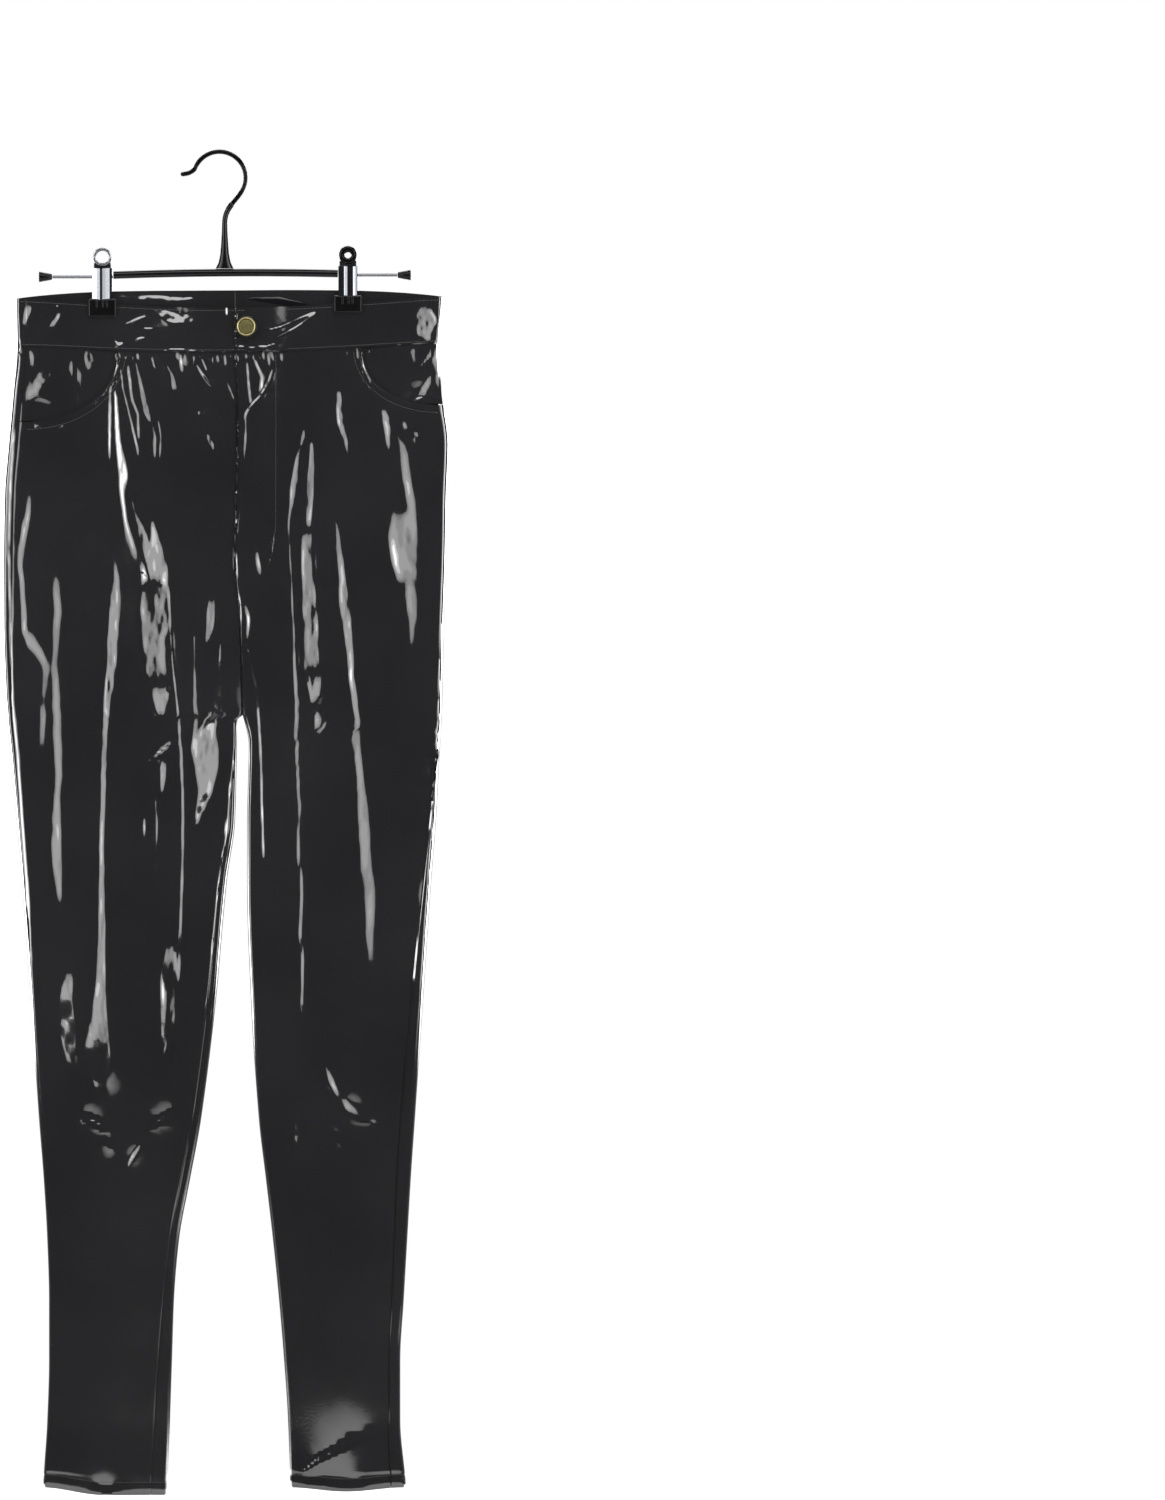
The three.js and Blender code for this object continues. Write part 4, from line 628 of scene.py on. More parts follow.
def puckers(face, random):
    """Short gathers under the waistband seam and along the pocket stitching, as extra creases"""
    drawing = DRAWINGS[face]
    made = []

    def add(x, z, run_x, run_z, width):
        px = x * drawing["way"] / drawing["unit"] + drawing["x"]
        py = drawing["y"] - z / drawing["unit"]
        lean = "lr"[random.integers(2)]
        line = [(px, py, width), (px + run_x, py + run_z, 0.6 * width)]
        made.append((lean, random.uniform(0.28, 0.55), line))

    spans = [(-90, 20, 30), (24, 52, 9), (110, 175, 8), (-172, -110, 12)] if face == "front" else [
        (-172, -90, 14), (-80, 10, 16), (20, 100, 14), (110, 180, 18)]
    for low, high, count in spans:
        for x in np.linspace(low, high, count):
            place = x + random.uniform(-1.2, 1.2)
            seam = waist_edge(WAIST_SEAM, place, face == "front")
            length = random.uniform(3, 9) if random.random() < 0.7 else random.uniform(9, 18)
            add(place, float(seam) - 1.5, random.uniform(-1, 3), length, random.uniform(1.2, 2.4))
    if face == "front":
        for side in SIDES:
            pocket = POCKETS[side]
            for angle in np.radians(np.arange(8, 90, 2.6)):
                spread = random.uniform(2, 7)
                x = pocket["corner"] + TOWARDS[side] * (pocket["width"] + spread) * math.sin(angle)
                z = float(waist_edge(WAIST_SEAM, x, True)) - (pocket["depth"] + spread) * math.cos(angle)
                run = random.uniform(2.0, 4.5)
                add(x, z, TOWARDS[side] * run * math.sin(angle), max(1.4, run * math.cos(angle)), 1.6)
    return made


def settled(base, inside, tilt_x, tilt_z, stands, lies):
    """Height over the smooth form that gives it these tilts, firm in the creases and loose between them"""
    base_x, base_z = tilts(base)
    want = [(tilt_x[:, 1:] + tilt_x[:, :-1]) / 2 - base_x, (tilt_z[1:] + tilt_z[:-1]) / 2 - base_z]
    firm = [GIVE + (1 - GIVE) * stands[:, 1:], GIVE + (1 - GIVE) * lies[1:]]
    firm = [np.where(np.abs(form) > LAP_STEP, 1e-3, share) for form, share in zip((base_x, base_z), firm)]
    free = (np.maximum(stands, lies) < 0.05) & (inside > 1.2)
    free = (free[:, 1:], free[1:])
    past_fold = inside > 3.5
    body = (np.where(past_fold[:, 1:], base_x, 0), np.where(past_fold[1:], base_z, 0))
    hold = np.where(inside < 1.0, 1.0, 1e-7)
    height = np.zeros_like(base)
    for firmness in (0.3, 1.0, 2.0, 2.0, 0):
        height = fitted_height(height, want, firm, hold, 24)
        for way, (tilt, form) in enumerate(zip(tilts(height), body)):
            now = tilt + form
            steep = free[way] & (np.abs(now) > MOST_TILT) & (np.abs(form) < LAP_STEP) & (firmness > 0)
            want[way] = np.where(steep, np.clip(now, -MOST_TILT, MOST_TILT) - form, want[way])
            firm[way] = np.where(steep, firmness, firm[way])
    return height


def make_relief(face):
    """Height of the creases over the smooth form, on the grid"""
    random = np.random.default_rng(41 if face == "front" else 43)
    base, inside = form_on_grid(face == "front")
    upright = CREASES[face] + puckers(face, random)
    fields = tilt_fields(face, upright, LEVEL_CREASES[face], base, inside, random)
    height = settled(base, inside, *fields)
    shine = blurred(np.maximum(fields[2], fields[3]), 1.5, 2.5)
    fine = wrinkles(random, 1.3, 2.0, 0.035) + wrinkles(random, 4.0, 8.0, 0.035)
    broad = wrinkles(random, 7.0, 40.0, 0.010) + wrinkles(random, 22.0, 120.0, 0.010)
    height = height + fine * shine + 0.08 * fine + broad
    return height * smooth(inside, 0.3, 2.5)


RELIEF = {face: make_relief(face) for face in ("front", "back")}


def relief_at(face, x, z):
    """Height of the creases at points, read off the grid"""
    column = np.clip((x - GRID_X[0]) / GRID_STEP, 0, len(GRID_X) - 1.001)
    row = np.clip(GRID_Z[0] - z, 0, len(GRID_Z) - 1.001)
    c, r = column.astype(int), row.astype(int)
    u, v = column - c, row - r
    field = RELIEF[face]
    return ((field[r, c] * (1 - u) + field[r, c + 1] * u) * (1 - v)
            + (field[r + 1, c] * (1 - u) + field[r + 1, c + 1] * u) * v)


def face_points(side, s, z, extra=0.0):
    """Points on the outside of the cloth for ring values and heights"""
    s, z, extra = np.broadcast_arrays(s, np.asarray(z, float), extra)
    outer, inner = edges_at(side, z)
    t = ring_t(s)
    x = lerp(outer, inner, t) + extra * TOWARDS[side]
    front = np.sin(np.pi * s) >= -1e-9
    depth, _ = form_depth(side, t, x, z, front)
    depth = depth + np.where(front, relief_at("front", x, z), relief_at("back", x, z))
    depth = np.maximum(depth, 0.0)
    return np.stack([x, np.where(front, -depth, depth), z], axis=-1)


def grid_normals(points):
    """Unit normals of a grid of points, pointing away from the middle plane"""
    across = np.gradient(points, axis=1)
    along = np.gradient(points, axis=0)
    normal = np.cross(along, across)
    normal /= np.maximum(np.linalg.norm(normal, axis=-1, keepdims=True), 1e-9)
    outward = np.sign(np.sum(normal[..., 1] * points[..., 1]))
    return normal * (outward or 1)


def run_across(points):
    """Distance along each row from its first and last points"""
    step = np.linalg.norm(np.diff(points, axis=1), axis=-1)
    total = np.concatenate([np.zeros((len(points), 1)), np.cumsum(step, axis=1)], axis=1)
    return total, total[:, -1:] - total


def run_down(points):
    step = np.linalg.norm(np.diff(points, axis=0), axis=-1)
    total = np.concatenate([np.zeros((1, points.shape[1])), np.cumsum(step, axis=0)], axis=0)
    return total, total[-1:] - total


def keep_apart(points, front):
    """Front cloth stays before the middle plane and back cloth behind it."""
    clear = SEAM_GAP / 2
    y = points[..., 1]
    points[..., 1] = np.where(front, np.minimum(y, -clear), np.maximum(y, clear))
    return points


def linear(hex_colour):
    """sRGB hex colour as linear RGBA"""
    parts = [int(hex_colour[i:i + 2], 16) / 255 for i in (1, 3, 5)]
    return [c / 12.92 if c <= 0.04045 else ((c + 0.055) / 1.055) ** 2.4 for c in parts] + [1.0]


def add_node(tree, kind, values=None, links=None, **settings):
    """Adds a node, sets its options and input values, and links other nodes' outputs to its inputs"""
    node = tree.nodes.new(kind)
    for key, value in settings.items():
        setattr(node, key, value)
    for key, value in (values or {}).items():
        node.inputs[key].default_value = value
    for key, output in (links or {}).items():
        tree.links.new(output, node.inputs[key])
    return node


def new_material(name):
    """An empty material with its output node and Object coordinates"""
    material = bpy.data.materials.new(name)
    material.use_nodes = True
    tree = material.node_tree
    tree.nodes.clear()
    output = add_node(tree, "ShaderNodeOutputMaterial")
    place = add_node(tree, "ShaderNodeTexCoord").outputs["Object"]
    return material, tree, output, place


def ramp_colours(node, stops):
    ramp = node.color_ramp
    while len(ramp.elements) < len(stops):
        ramp.elements.new(0.5)
    for element, (at, colour) in zip(ramp.elements, stops):
        element.position = at
        element.color = linear(colour)


def patent_leather():
    """Polyurethane patent leather: a black knit under a poured gloss film. The film is smooth enough to
    mirror lamps as sharp grey streaks, with a faint orange peel about 2 mm across."""
    material, tree, output, place = new_material("patent_leather_black")
    tone = add_node(tree, "ShaderNodeTexNoise", {"Scale": 9.0, "Detail": 3.0}, {"Vector": place})
    colour = add_node(tree, "ShaderNodeValToRGB", links={"Fac": tone.outputs["Fac"]})
    ramp_colours(colour, [(0.3, "#070708"), (0.7, "#0b0b0c")])
    peel = add_node(tree, "ShaderNodeTexNoise", {"Scale": 480.0, "Detail": 2.0}, {"Vector": place})
    bump = add_node(tree, "ShaderNodeBump", {"Strength": 0.25, "Distance": 0.00004}, {"Height": peel.outputs["Fac"]})
    shader = add_node(tree, "ShaderNodeBsdfPrincipled", {
        "Roughness": 0.45, "IOR": 1.5, "Specular IOR Level": 0.0, "Coat Weight": 1.0, "Coat Roughness": 0.07,
        "Coat IOR": 1.5}, {"Base Color": colour.outputs["Color"], "Normal": bump.outputs["Normal"],
                           "Coat Normal": bump.outputs["Normal"]})
    tree.links.new(shader.outputs["BSDF"], output.inputs["Surface"])
    return material


def plain_finish(name, colours, roughness, metallic, grain_mm, depth_mm, gloss=0.5):
    """A moulded, dipped or plated finish: two close tones and a fine surface grain of this size"""
    material, tree, output, place = new_material(name)
    grain = add_node(tree, "ShaderNodeTexNoise", {"Scale": 1000 / grain_mm, "Detail": 3.0}, {"Vector": place})
    colour = add_node(tree, "ShaderNodeValToRGB", links={"Fac": grain.outputs["Fac"]})
    ramp_colours(colour, [(0.35, colours[0]), (0.65, colours[1])])
    bump = add_node(tree, "ShaderNodeBump", {"Strength": 0.3, "Distance": depth_mm * MM},
                    {"Height": grain.outputs["Fac"]})
    shader = add_node(tree, "ShaderNodeBsdfPrincipled", {
        "Roughness": roughness, "Metallic": metallic, "Specular IOR Level": gloss},
        {"Base Color": colour.outputs["Color"], "Normal": bump.outputs["Normal"]})
    tree.links.new(shader.outputs["BSDF"], output.inputs["Surface"])
    return material


LEATHER = patent_leather()
# Nickel-chrome plate on steel wire: bright, nearly a mirror, with faint polishing haze
CHROME = plain_finish("chrome_plated_steel", ("#4b4c4f", "#545558"), 0.08, 1.0, 1.2, 0.004)
# The same chrome plate with its colour darkened: painted shade standing in for the dark room that the hook and one
# clip ring reflect
CHROME_PAINTED_DARK = plain_finish("chrome_steel_painted_dark", ("#0a0a0b", "#0e0e0f"), 0.12, 1.0, 1.2, 0.002)
# PVC dip on wire: a thick glossy black skin with soft flow marks
DIP = plain_finish("pvc_dip_black", ("#030304", "#050506"), 0.1, 0.0, 6.0, 0.01, gloss=0.08)
# Moulded rubber: soft black with a fine mould grain
RUBBER = plain_finish("moulded_rubber_black", ("#020202", "#050505"), 0.16, 0.0, 0.8, 0.004, gloss=0.08)
# Brass with an aged lacquer
BRASS = plain_finish("brass_polished_rim", ("#5f5a40", "#736c4f"), 0.3, 1.0, 1.5, 0.02)
# and the same brass left to darken, olive with a satin lustre
AGED_BRASS = plain_finish("brass_antiqued_face", ("#46422a", "#585235"), 0.38, 1.0, 1.2, 0.03)
# Dark patina in the grooves of the button, which outlines its rim
PATINA = plain_finish("brass_dark_patina", ("#17150d", "#221f14"), 0.5, 1.0, 1.2, 0.01)
# Waxed polyester thread: black, slightly ribbed
THREAD = plain_finish("waxed_polyester_thread", ("#060606", "#0c0c0c"), 0.4, 0.0, 0.4, 0.02, gloss=0.25)


def finish_mesh(obj, material, smooth_angle=40):
    """Smooth shading, one material, and nothing left selected"""
    obj.data.materials.clear()
    obj.data.materials.append(material)
    bpy.ops.object.select_all(action="DESELECT")
    obj.select_set(True)
    bpy.context.view_layer.objects.active = obj
    bpy.ops.object.shade_smooth_by_angle(angle=math.radians(smooth_angle))
    obj.select_set(False)


def cloth_piece(name, node, points):
    """A thin shell through a grid of outer points, in metres"""
    rows, cols = points.shape[:2]
    number = np.arange(rows * cols).reshape(rows, cols)
    quads = np.stack([number[:-1, :-1], number[1:, :-1], number[1:, 1:], number[:-1, 1:]], axis=-1).reshape(-1, 4)
    flat = points.reshape(-1, 3)
    a, b, c = (flat[quads[:, i]] for i in (0, 1, 3))
    facing = np.cross(b - a, c - a)[:, 1] * np.sign(a[:, 1])
    if facing.sum() < 0:
        quads = quads[:, ::-1]
    mesh = bpy.data.meshes.new(name)
    mesh.from_pydata((flat * MM).tolist(), [], quads.tolist())
    mesh.update()
    piece = bpy.data.objects.new(name, mesh)
    bpy.context.collection.objects.link(piece)
    bpy.context.view_layer.objects.active = piece
    wall = piece.modifiers.new("wall", "SOLIDIFY")
    wall.thickness = WALL * MM
    wall.offset = -1
    wall.use_rim = True
    bpy.ops.object.modifier_apply(modifier="wall")
    finish_mesh(piece, LEATHER)
    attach(piece, "root")
    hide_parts(node)
    return piece


FOLD_COLUMN = 6      # the side fold ends at this column of the pocket mouth


ROW_STEPS = [(POCKET_ROW_Z, -620, 3.5), (-620, -800, 4.8), (-800, -872, 2.8), (-872, HEM_ROW_Z, 6.5)]


def panel_rows(top, hem):
    """Heights down a panel for each column: close rows at the pocket, wider ones lower down"""
    upper = [lerp(top, POCKET_ROW_Z, k / 56) for k in range(56)]
    body = np.concatenate([np.arange(high, low, -step) for high, low, step in ROW_STEPS])
    lower = [lerp(HEM_ROW_Z, hem, k / 14) for k in range(14)]
    ends = [hem + 1.2, hem + 0.5, hem]
    shape = np.ones_like(top)
    return np.array([*upper, *[z * shape for z in body], *lower, *ends])


def seam_groove(distance, depth=0.15, width=0.9):
    return -depth * np.exp(-((distance / width) ** 2))


def roll_hem(points, normals):
    """The last rows turn inwards round the folded hem."""
    _, from_hem = run_down(points)
    inward = 0.9 * (1 - smooth(from_hem, 0.0, 1.6))
    stitched = -0.25 * np.exp(-(((from_hem - 11.0) / 1.2) ** 2))
    return points + normals * (stitched - inward)[..., None]


def front_panel(side):
    pocket = POCKETS[side]
    seam_z = float(waist_edge(WAIST_SEAM, pocket["corner"], True))
    start = float(seam_ring(side, "outer", seam_z))
    angles = np.radians(90 * (np.linspace(0, 1, 48) ** 0.95))
    x = pocket["corner"] + TOWARDS[side] * pocket["width"] * np.sin(angles)
    mouth = (np.maximum(start, ring_from_x(side, x, seam_z)) - start) / (1 - start)
    fold = mouth[FOLD_COLUMN] * np.linspace(0, 1, 14) ** 0.9
    mouth = np.concatenate([fold[:-1], mouth[FOLD_COLUMN:]])
    inner = SECTIONS[f"inner_{side}"][2]
    rest = (ring_from_x(side, np.linspace(x[-1], inner, 112)[1:], seam_z) - start) / (1 - start)
    rest = np.concatenate([rest[:-5], lerp(rest[-6], 1, np.linspace(0, 1, 15)[1:] ** 0.7)])
    share = np.concatenate([mouth, rest])
    column = np.arange(len(share))
    in_mouth = column < len(mouth) - 1

    def ring(z):
        return lerp(seam_ring(side, "outer", z), seam_ring(side, "inner", z), share)

    def x_at(z):
        outer, inner = edges_at(side, z)
        return lerp(outer, inner, ring_t(ring(z)))

    top = np.full(len(share), seam_z)
    for _ in range(4):
        here = x_at(top)
        top = np.where(in_mouth, mouth_z(side, here), waist_edge(WAIST_SEAM, here, True))
    top = top - SEAM_GAP / 2
    z = panel_rows(top, hem_z(side, ring(np.full(len(share), HEM_ROW_Z))))
    s = lerp(seam_ring(side, "outer", z), seam_ring(side, "inner", z), share[None])
    extra = np.zeros_like(z)
    if side == "right":
        lap = smooth(z[:, -1], LAP_END_Z - LAP_FADE, LAP_END_Z)
        for back, part in enumerate((1.0, 0.75, 0.5, 0.25)):
            extra[:, -1 - back] = FLY_OVERLAP * part * lap
    points = face_points(side, s, z, extra)
    normals = grid_normals(points)
    from_outseam, from_inner = run_across(points)
    from_top, _ = run_down(points)
    lift = lap_lift(side, points[..., 0], z, FLY_OVERLAP)
    lift = lift + seam_groove(from_outseam)
    below_lap = 1 - smooth(z, LAP_END_Z - LAP_FADE - 4, LAP_END_Z - LAP_FADE + 8)
    lift = lift + seam_groove(from_inner, 0.35) * below_lap
    edge = np.where(in_mouth[None], 0.6 * (1 - smooth(from_top, 0.2, 8.0)), 0)
    lift = lift + edge + np.where(in_mouth[None], 0, seam_groove(from_top, 0.2))
    points = points + normals * lift[..., None]
    across = np.gradient(points, axis=1)
    across /= np.maximum(np.linalg.norm(across, axis=-1, keepdims=True), 1e-9)
    points[:, 0] += across[:, 0] * SEAM_GAP / 2
    points[:, -1] -= across[:, -1] * SEAM_GAP / 2
    points = roll_hem(points, normals)
    points = keep_apart(points, np.sin(np.pi * s) >= -1e-9)
    return cloth_piece(f"leg_front_{side}", f"front_{side}", points)


def back_panel(side):
    level = WAIST_SEAM["right"]
    start = float(seam_ring(side, "outer", level))
    outer, inner = edges_at(side, level)
    even = ring_from_x(side, np.linspace(outer, inner, 113), level)
    share = (start + even) / (1 + start)
    inseam = lerp(share[-6], 1, np.linspace(0, 1, 13)[1:] ** 0.7)
    share = np.concatenate([np.linspace(0, share[4], 26), share[5:-5], inseam])

    def ring(z):
        return lerp(seam_ring(side, "outer", z), seam_ring(side, "inner", z) - 2, share)

    s0 = ring(np.full(len(share), level))
    x0 = lerp(outer, inner, ring_t(s0))
    top = waist_edge(WAIST_SEAM, x0, np.sin(np.pi * s0) > 1e-6) - SEAM_GAP / 2
    z = panel_rows(top, hem_z(side, ring(np.full(len(share), HEM_ROW_Z))))
    s = lerp(seam_ring(side, "outer", z), seam_ring(side, "inner", z) - 2, share[None])
    points = face_points(side, s, z)
    at_centre = z[:, -1] > FORK_Z - 0.01
    points[:, -1, 1] = np.where(at_centre, np.abs(points[:, -1, 1]), points[:, -1, 1])
    normals = grid_normals(points)
    from_outseam, from_inner = run_across(points)
    from_top, _ = run_down(points)
    lift = seam_groove(from_outseam) + seam_groove(from_inner, 0.4) + seam_groove(from_top, 0.2)
    points = points + normals * lift[..., None]
    across = np.gradient(points, axis=1)
    across /= np.maximum(np.linalg.norm(across, axis=-1, keepdims=True), 1e-9)
    points[:, 0] += across[:, 0] * SEAM_GAP / 2
    points[:, -1] -= across[:, -1] * SEAM_GAP / 2
    points = roll_hem(points, normals)
    front = np.sin(np.pi * s) > 1e-9
    front[:, -1] &= ~at_centre
    points = keep_apart(points, front)
    return cloth_piece(f"leg_back_{side}", f"back_{side}", points)


def pocket_facing(side):
    pocket = POCKETS[side]
    reach = pocket["width"] + FACING_UNDERLAP - 1
    across = np.concatenate([[0.0, 1.0, 2.2, 4.0, 6.5, 9.0], reach * np.sin(np.radians(np.linspace(8, 90, 44)))])
    x = pocket["corner"] + TOWARDS[side] * across
    top = waist_edge(WAIST_SEAM, x, True) - SEAM_GAP / 2
    under = lerp(-2 * SEAM_GAP, FACING_UNDERLAP, smooth(across, 12, 30))
    bottom = np.minimum(top - 12, mouth_z(side, x, under))
    rows = np.linspace(0, 1, 44)[:, None]
    z = lerp(top[None], bottom[None], rows)
    share = np.minimum(1, across / 9.0)[None]
    first_x = pocket["corner"] + TOWARDS[side] * 9.0
    target = np.where(across[None] < 9.0, first_x, x[None]) * np.ones_like(z)
    s = lerp(seam_ring(side, "outer", z), ring_from_x(side, target, z), share)
    points = face_points(side, s, z)
    normals = grid_normals(points)
    radius = np.hypot(across[None] / pocket["width"], (top[None] - z) / pocket["depth"])
    lift = -FACING_DROP * smooth(radius, 0.6, 0.84) * smooth(across[None], 1, 11)
    from_top, _ = run_down(points)
    from_outseam, _ = run_across(points)
    lift = lift + seam_groove(from_top, 0.2) + seam_groove(from_outseam, 0.15)
    points = points + normals * lift[..., None]
    points = keep_apart(points, np.ones_like(z, bool))
    return cloth_piece(f"pocket_facing_{side}_cloth", f"pocket_facing_{side}", points)


def waistband_points(side, share, end, lift, extra):
    """Grid of a waistband stretch: columns by share of the ring from the outer seam to its end"""
    level = WAIST_SEAM["right"]
    level_s = lerp(float(seam_ring(side, "outer", level)), end, share)
    outer, inner = edges_at(side, level)
    x = lerp(outer, inner, ring_t(level_s)) + extra * TOWARDS[side]
    front = (np.sin(np.pi * level_s) > 1e-9) | (np.abs(level_s - 1) < 1e-6)
    top = waist_edge(WAIST_TOP, x, front)
    bottom = waist_edge(WAIST_SEAM, x, front) + SEAM_GAP / 2
    rows = np.concatenate([[0, 0.012, 0.03, 0.055], np.linspace(0.08, 0.94, 42), [0.96, 0.975, 0.99, 1.0]])
    z = lerp(top[None], bottom[None], rows[:, None])
    s = lerp(seam_ring(side, "outer", z), end, share[None])
    points = face_points(side, s, z, extra[None] * np.ones_like(z))
    if end < 0:
        back = np.abs(s + 1) < 1e-9
        points[..., 1] = np.where(back, np.abs(points[..., 1]), points[..., 1])
    return points, lift[None] * np.ones_like(z)


def waistband_piece(name, node, points, lift):
    normals = grid_normals(points)
    from_top, from_bottom = run_down(points)
    stitched = -0.06 * np.exp(-(((from_top - 2.5) / 0.8) ** 2))
    total = lift + stitched + seam_groove(from_bottom, 0.2)
    front = points[..., 1] < 0
    points = keep_apart(points + normals * total[..., None], front)
    return cloth_piece(name, node, points)


def front_waistbands():
    for side in SIDES:
        start = float(seam_ring(side, "outer", WAIST_SEAM["right"]))
        share = np.concatenate([[0, 0.004, 0.01, 0.02], np.linspace(0.03, 1, 190)])
        extra = np.zeros_like(share)
        if side == "right":
            more = np.linspace(0, WAIST_OVERLAP, 12)[1:]
            share = np.concatenate([share, np.ones(len(more))])
            extra = np.concatenate([extra, more])
        outer, inner = edges_at(side, WAIST_SEAM["right"])
        x = lerp(outer, inner, ring_t(lerp(start, 1, share)))
        points, lift = waistband_points(side, share, 1, waist_lap(side, x), extra)
        points[:, 0, 0] += TOWARDS[side] * SEAM_GAP / 2
        waistband_piece(f"waistband_{side}", f"waistband_front_{side}", points, lift)


def back_waistband():
    share = np.concatenate([[0, 0.004, 0.01, 0.02], np.linspace(0.03, 1, 150)])
    none = np.zeros_like(share)
    halves = {side: waistband_points(side, share, -1, none, none)[0] for side in SIDES}
    points = np.concatenate([halves["right"], halves["left"][:, ::-1][:, 1:]], axis=1)
    waistband_piece("waistband_rear", "waistband_back", points, np.zeros(points.shape[:2]))


for each in SIDES:
    front_panel(each)
    back_panel(each)
    pocket_facing(each)
front_waistbands()
back_waistband()

# Hanger sizes, as in the part's source
HOOK_WIRE = 2.0
HOOK_BEND = 22.4
HOOK_CENTRE_Z = -20.4
HOOK_TIP = [(-33.2, -17.6), (-27.0, -16.6)]
HOOK_SWEEP = [(16.0, -40.5), (4.5, -44.0), (4.5, -60.0)]
NECK_RINGS = [(-66, 2.65, 2.6), (-72, 3.0, 2.8), (-80, 3.5, 2.9), (-86, 4.0, 3.0), (-93, 5.4, 3.2),
              (-98.1, 8.0, 3.3)]    # z, half width, half depth
BAR = [(-90.8, -103.8), (4.5, -101.7), (101.6, -102.5)]
BAR_RADIUS = 3.3
ROD_RADIUS = 1.35
ROD_END = {"right": -143.0, "left": 152.4}
CAP_LENGTH = 11.5
CLIP_LEAN = 0.135
BARREL_RADIUS = 4.5
BARREL_LENGTH = 14.0
PAD_SIZE = (24.0, 4.0)


def pick(piece):
    bpy.ops.object.select_all(action="DESELECT")
    piece.select_set(True)
    bpy.context.view_layer.objects.active = piece
    return piece


def settle(piece):
    pick(piece)
    bpy.ops.object.transform_apply(location=True, rotation=True, scale=True)
    return piece


def join(pieces):
    """Makes one object of several"""
    for piece in pieces:
        settle(piece)
    bpy.ops.object.select_all(action="DESELECT")
    for piece in pieces:
        piece.select_set(True)
    bpy.context.view_layer.objects.active = pieces[0]
    if len(pieces) > 1:
        bpy.ops.object.join()
    return pieces[0]


def dress(piece, name, node, material=None, smooth_angle=40):
    """Names a finished piece, puts its node's place in its care, and gives it its material"""
    settle(piece)
    piece.name = name
    if material:
        finish_mesh(piece, material, smooth_angle)
    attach(piece, "root")
    if node:
        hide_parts(node)
    return piece


def bevel_edges(width, segments=3):
    """Rounds the selected edges of the mesh in edit mode"""
    bpy.ops.mesh.bevel(offset=width * MM, offset_type="OFFSET", segments=segments, affect="EDGES")


def block(size, at, round_by, segments=3):
    """A box with rounded edges"""
    bpy.ops.mesh.primitive_cube_add(size=1, location=[c * MM for c in at])
    piece = bpy.context.object
    piece.scale = [c * MM for c in size]
    settle(piece)
    bpy.ops.object.mode_set(mode="EDIT")
    bpy.ops.mesh.select_all(action="SELECT")
    bevel_edges(round_by, segments)
    bpy.ops.object.mode_set(mode="OBJECT")
    return piece


def bent_wire(lines, radius, sides=12):
    """Round wire along one or more lines of (x, y, z, share of the radius) points"""
    bpy.ops.curve.primitive_bezier_curve_add(location=(0, 0, 0))
    wire = bpy.context.object
    shape = wire.data
    shape.splines.clear()
    shape.dimensions = "3D"
    shape.bevel_depth = radius * MM
    shape.bevel_resolution = sides // 4 - 1
    shape.use_fill_caps = True
    for line in lines:
        spline = shape.splines.new("POLY")
        spline.points.add(len(line) - 1)
        for point, (x, y, z, share) in zip(spline.points, line):
            point.co = (x * MM, y * MM, z * MM, 1)
            point.radius = share
    pick(wire)
    bpy.ops.object.convert(target="MESH")
    return bpy.context.object


def curve_points(a, b, c, d, count):
    """Points of a cubic curve from a to d, pulled towards b and c"""
    return [tuple((1 - t) ** 3 * p + 3 * t * (1 - t) ** 2 * q + 3 * t * t * (1 - t) * r + t ** 3 * w
                  for p, q, r, w in zip(a, b, c, d)) for t in np.linspace(0, 1, count)]


def hook_and_neck():
    bend = [(HOOK_BEND * math.cos(a), HOOK_CENTRE_Z + HOOK_BEND * math.sin(a))
            for a in np.radians(np.arange(160, -20.1, -4))]
    tip = curve_points(HOOK_TIP[0], (-30.5, -16.8), (-25.5, -17.6), bend[0], 12)
    sweep = curve_points(bend[-1], *HOOK_SWEEP, 41)
    line = [(x, 0, z, 1.0) for x, z in [*tip[:-1], *bend, *sweep[1:21]]]
    for i, share in enumerate((0.45, 0.85)):
        line[i] = (*line[i][:3], share)
    # the hook's chrome is darkened: painted shade
    dress(bent_wire([line], HOOK_WIRE, 20), "hook", "rail_hook", CHROME_PAINTED_DARK)

    coat = [(x, 0, z, 1.0) for x, z in sweep[20:]]    # the dip covers the wire's end
    coat[0] = (*coat[0][:3], 0.9)
    upper = bent_wire([coat], HOOK_WIRE + 0.5, 32)
    bpy.ops.mesh.primitive_circle_add(vertices=32, radius=(HOOK_WIRE + 0.5) * MM, fill_type="NOTHING",
                                      location=(4.5 * MM, 0, -59.9 * MM))
    flare = bpy.context.object
    bpy.ops.object.mode_set(mode="EDIT")
    bpy.ops.mesh.select_all(action="SELECT")
    at, wide, deep = -59.9, HOOK_WIRE + 0.5, HOOK_WIRE + 0.5
    for z, half_width, half_depth in NECK_RINGS:
        bpy.ops.mesh.extrude_region_move(TRANSFORM_OT_translate={"value": (0, 0, (z - at) * MM)})
        bpy.ops.transform.resize(value=(half_width / wide, half_depth / deep, 1),
                                 center_override=(4.5 * MM, 0, z * MM))
        at, wide, deep = z, half_width, half_depth
    bpy.ops.mesh.edge_face_add()
    bpy.ops.mesh.select_all(action="SELECT")
    bpy.ops.mesh.normals_make_consistent(inside=False)
    bpy.ops.object.mode_set(mode="OBJECT")
    dress(join([upper, flare]), "neck", "hanger_neck", DIP, 60)


def bar_z(x):
    (x0, z0), (x1, z1), (x2, z2) = BAR
    return (z0 * (x - x1) * (x - x2) / ((x0 - x1) * (x0 - x2))
            + z1 * (x - x0) * (x - x2) / ((x1 - x0) * (x1 - x2))
            + z2 * (x - x0) * (x - x1) / ((x2 - x0) * (x2 - x1)))


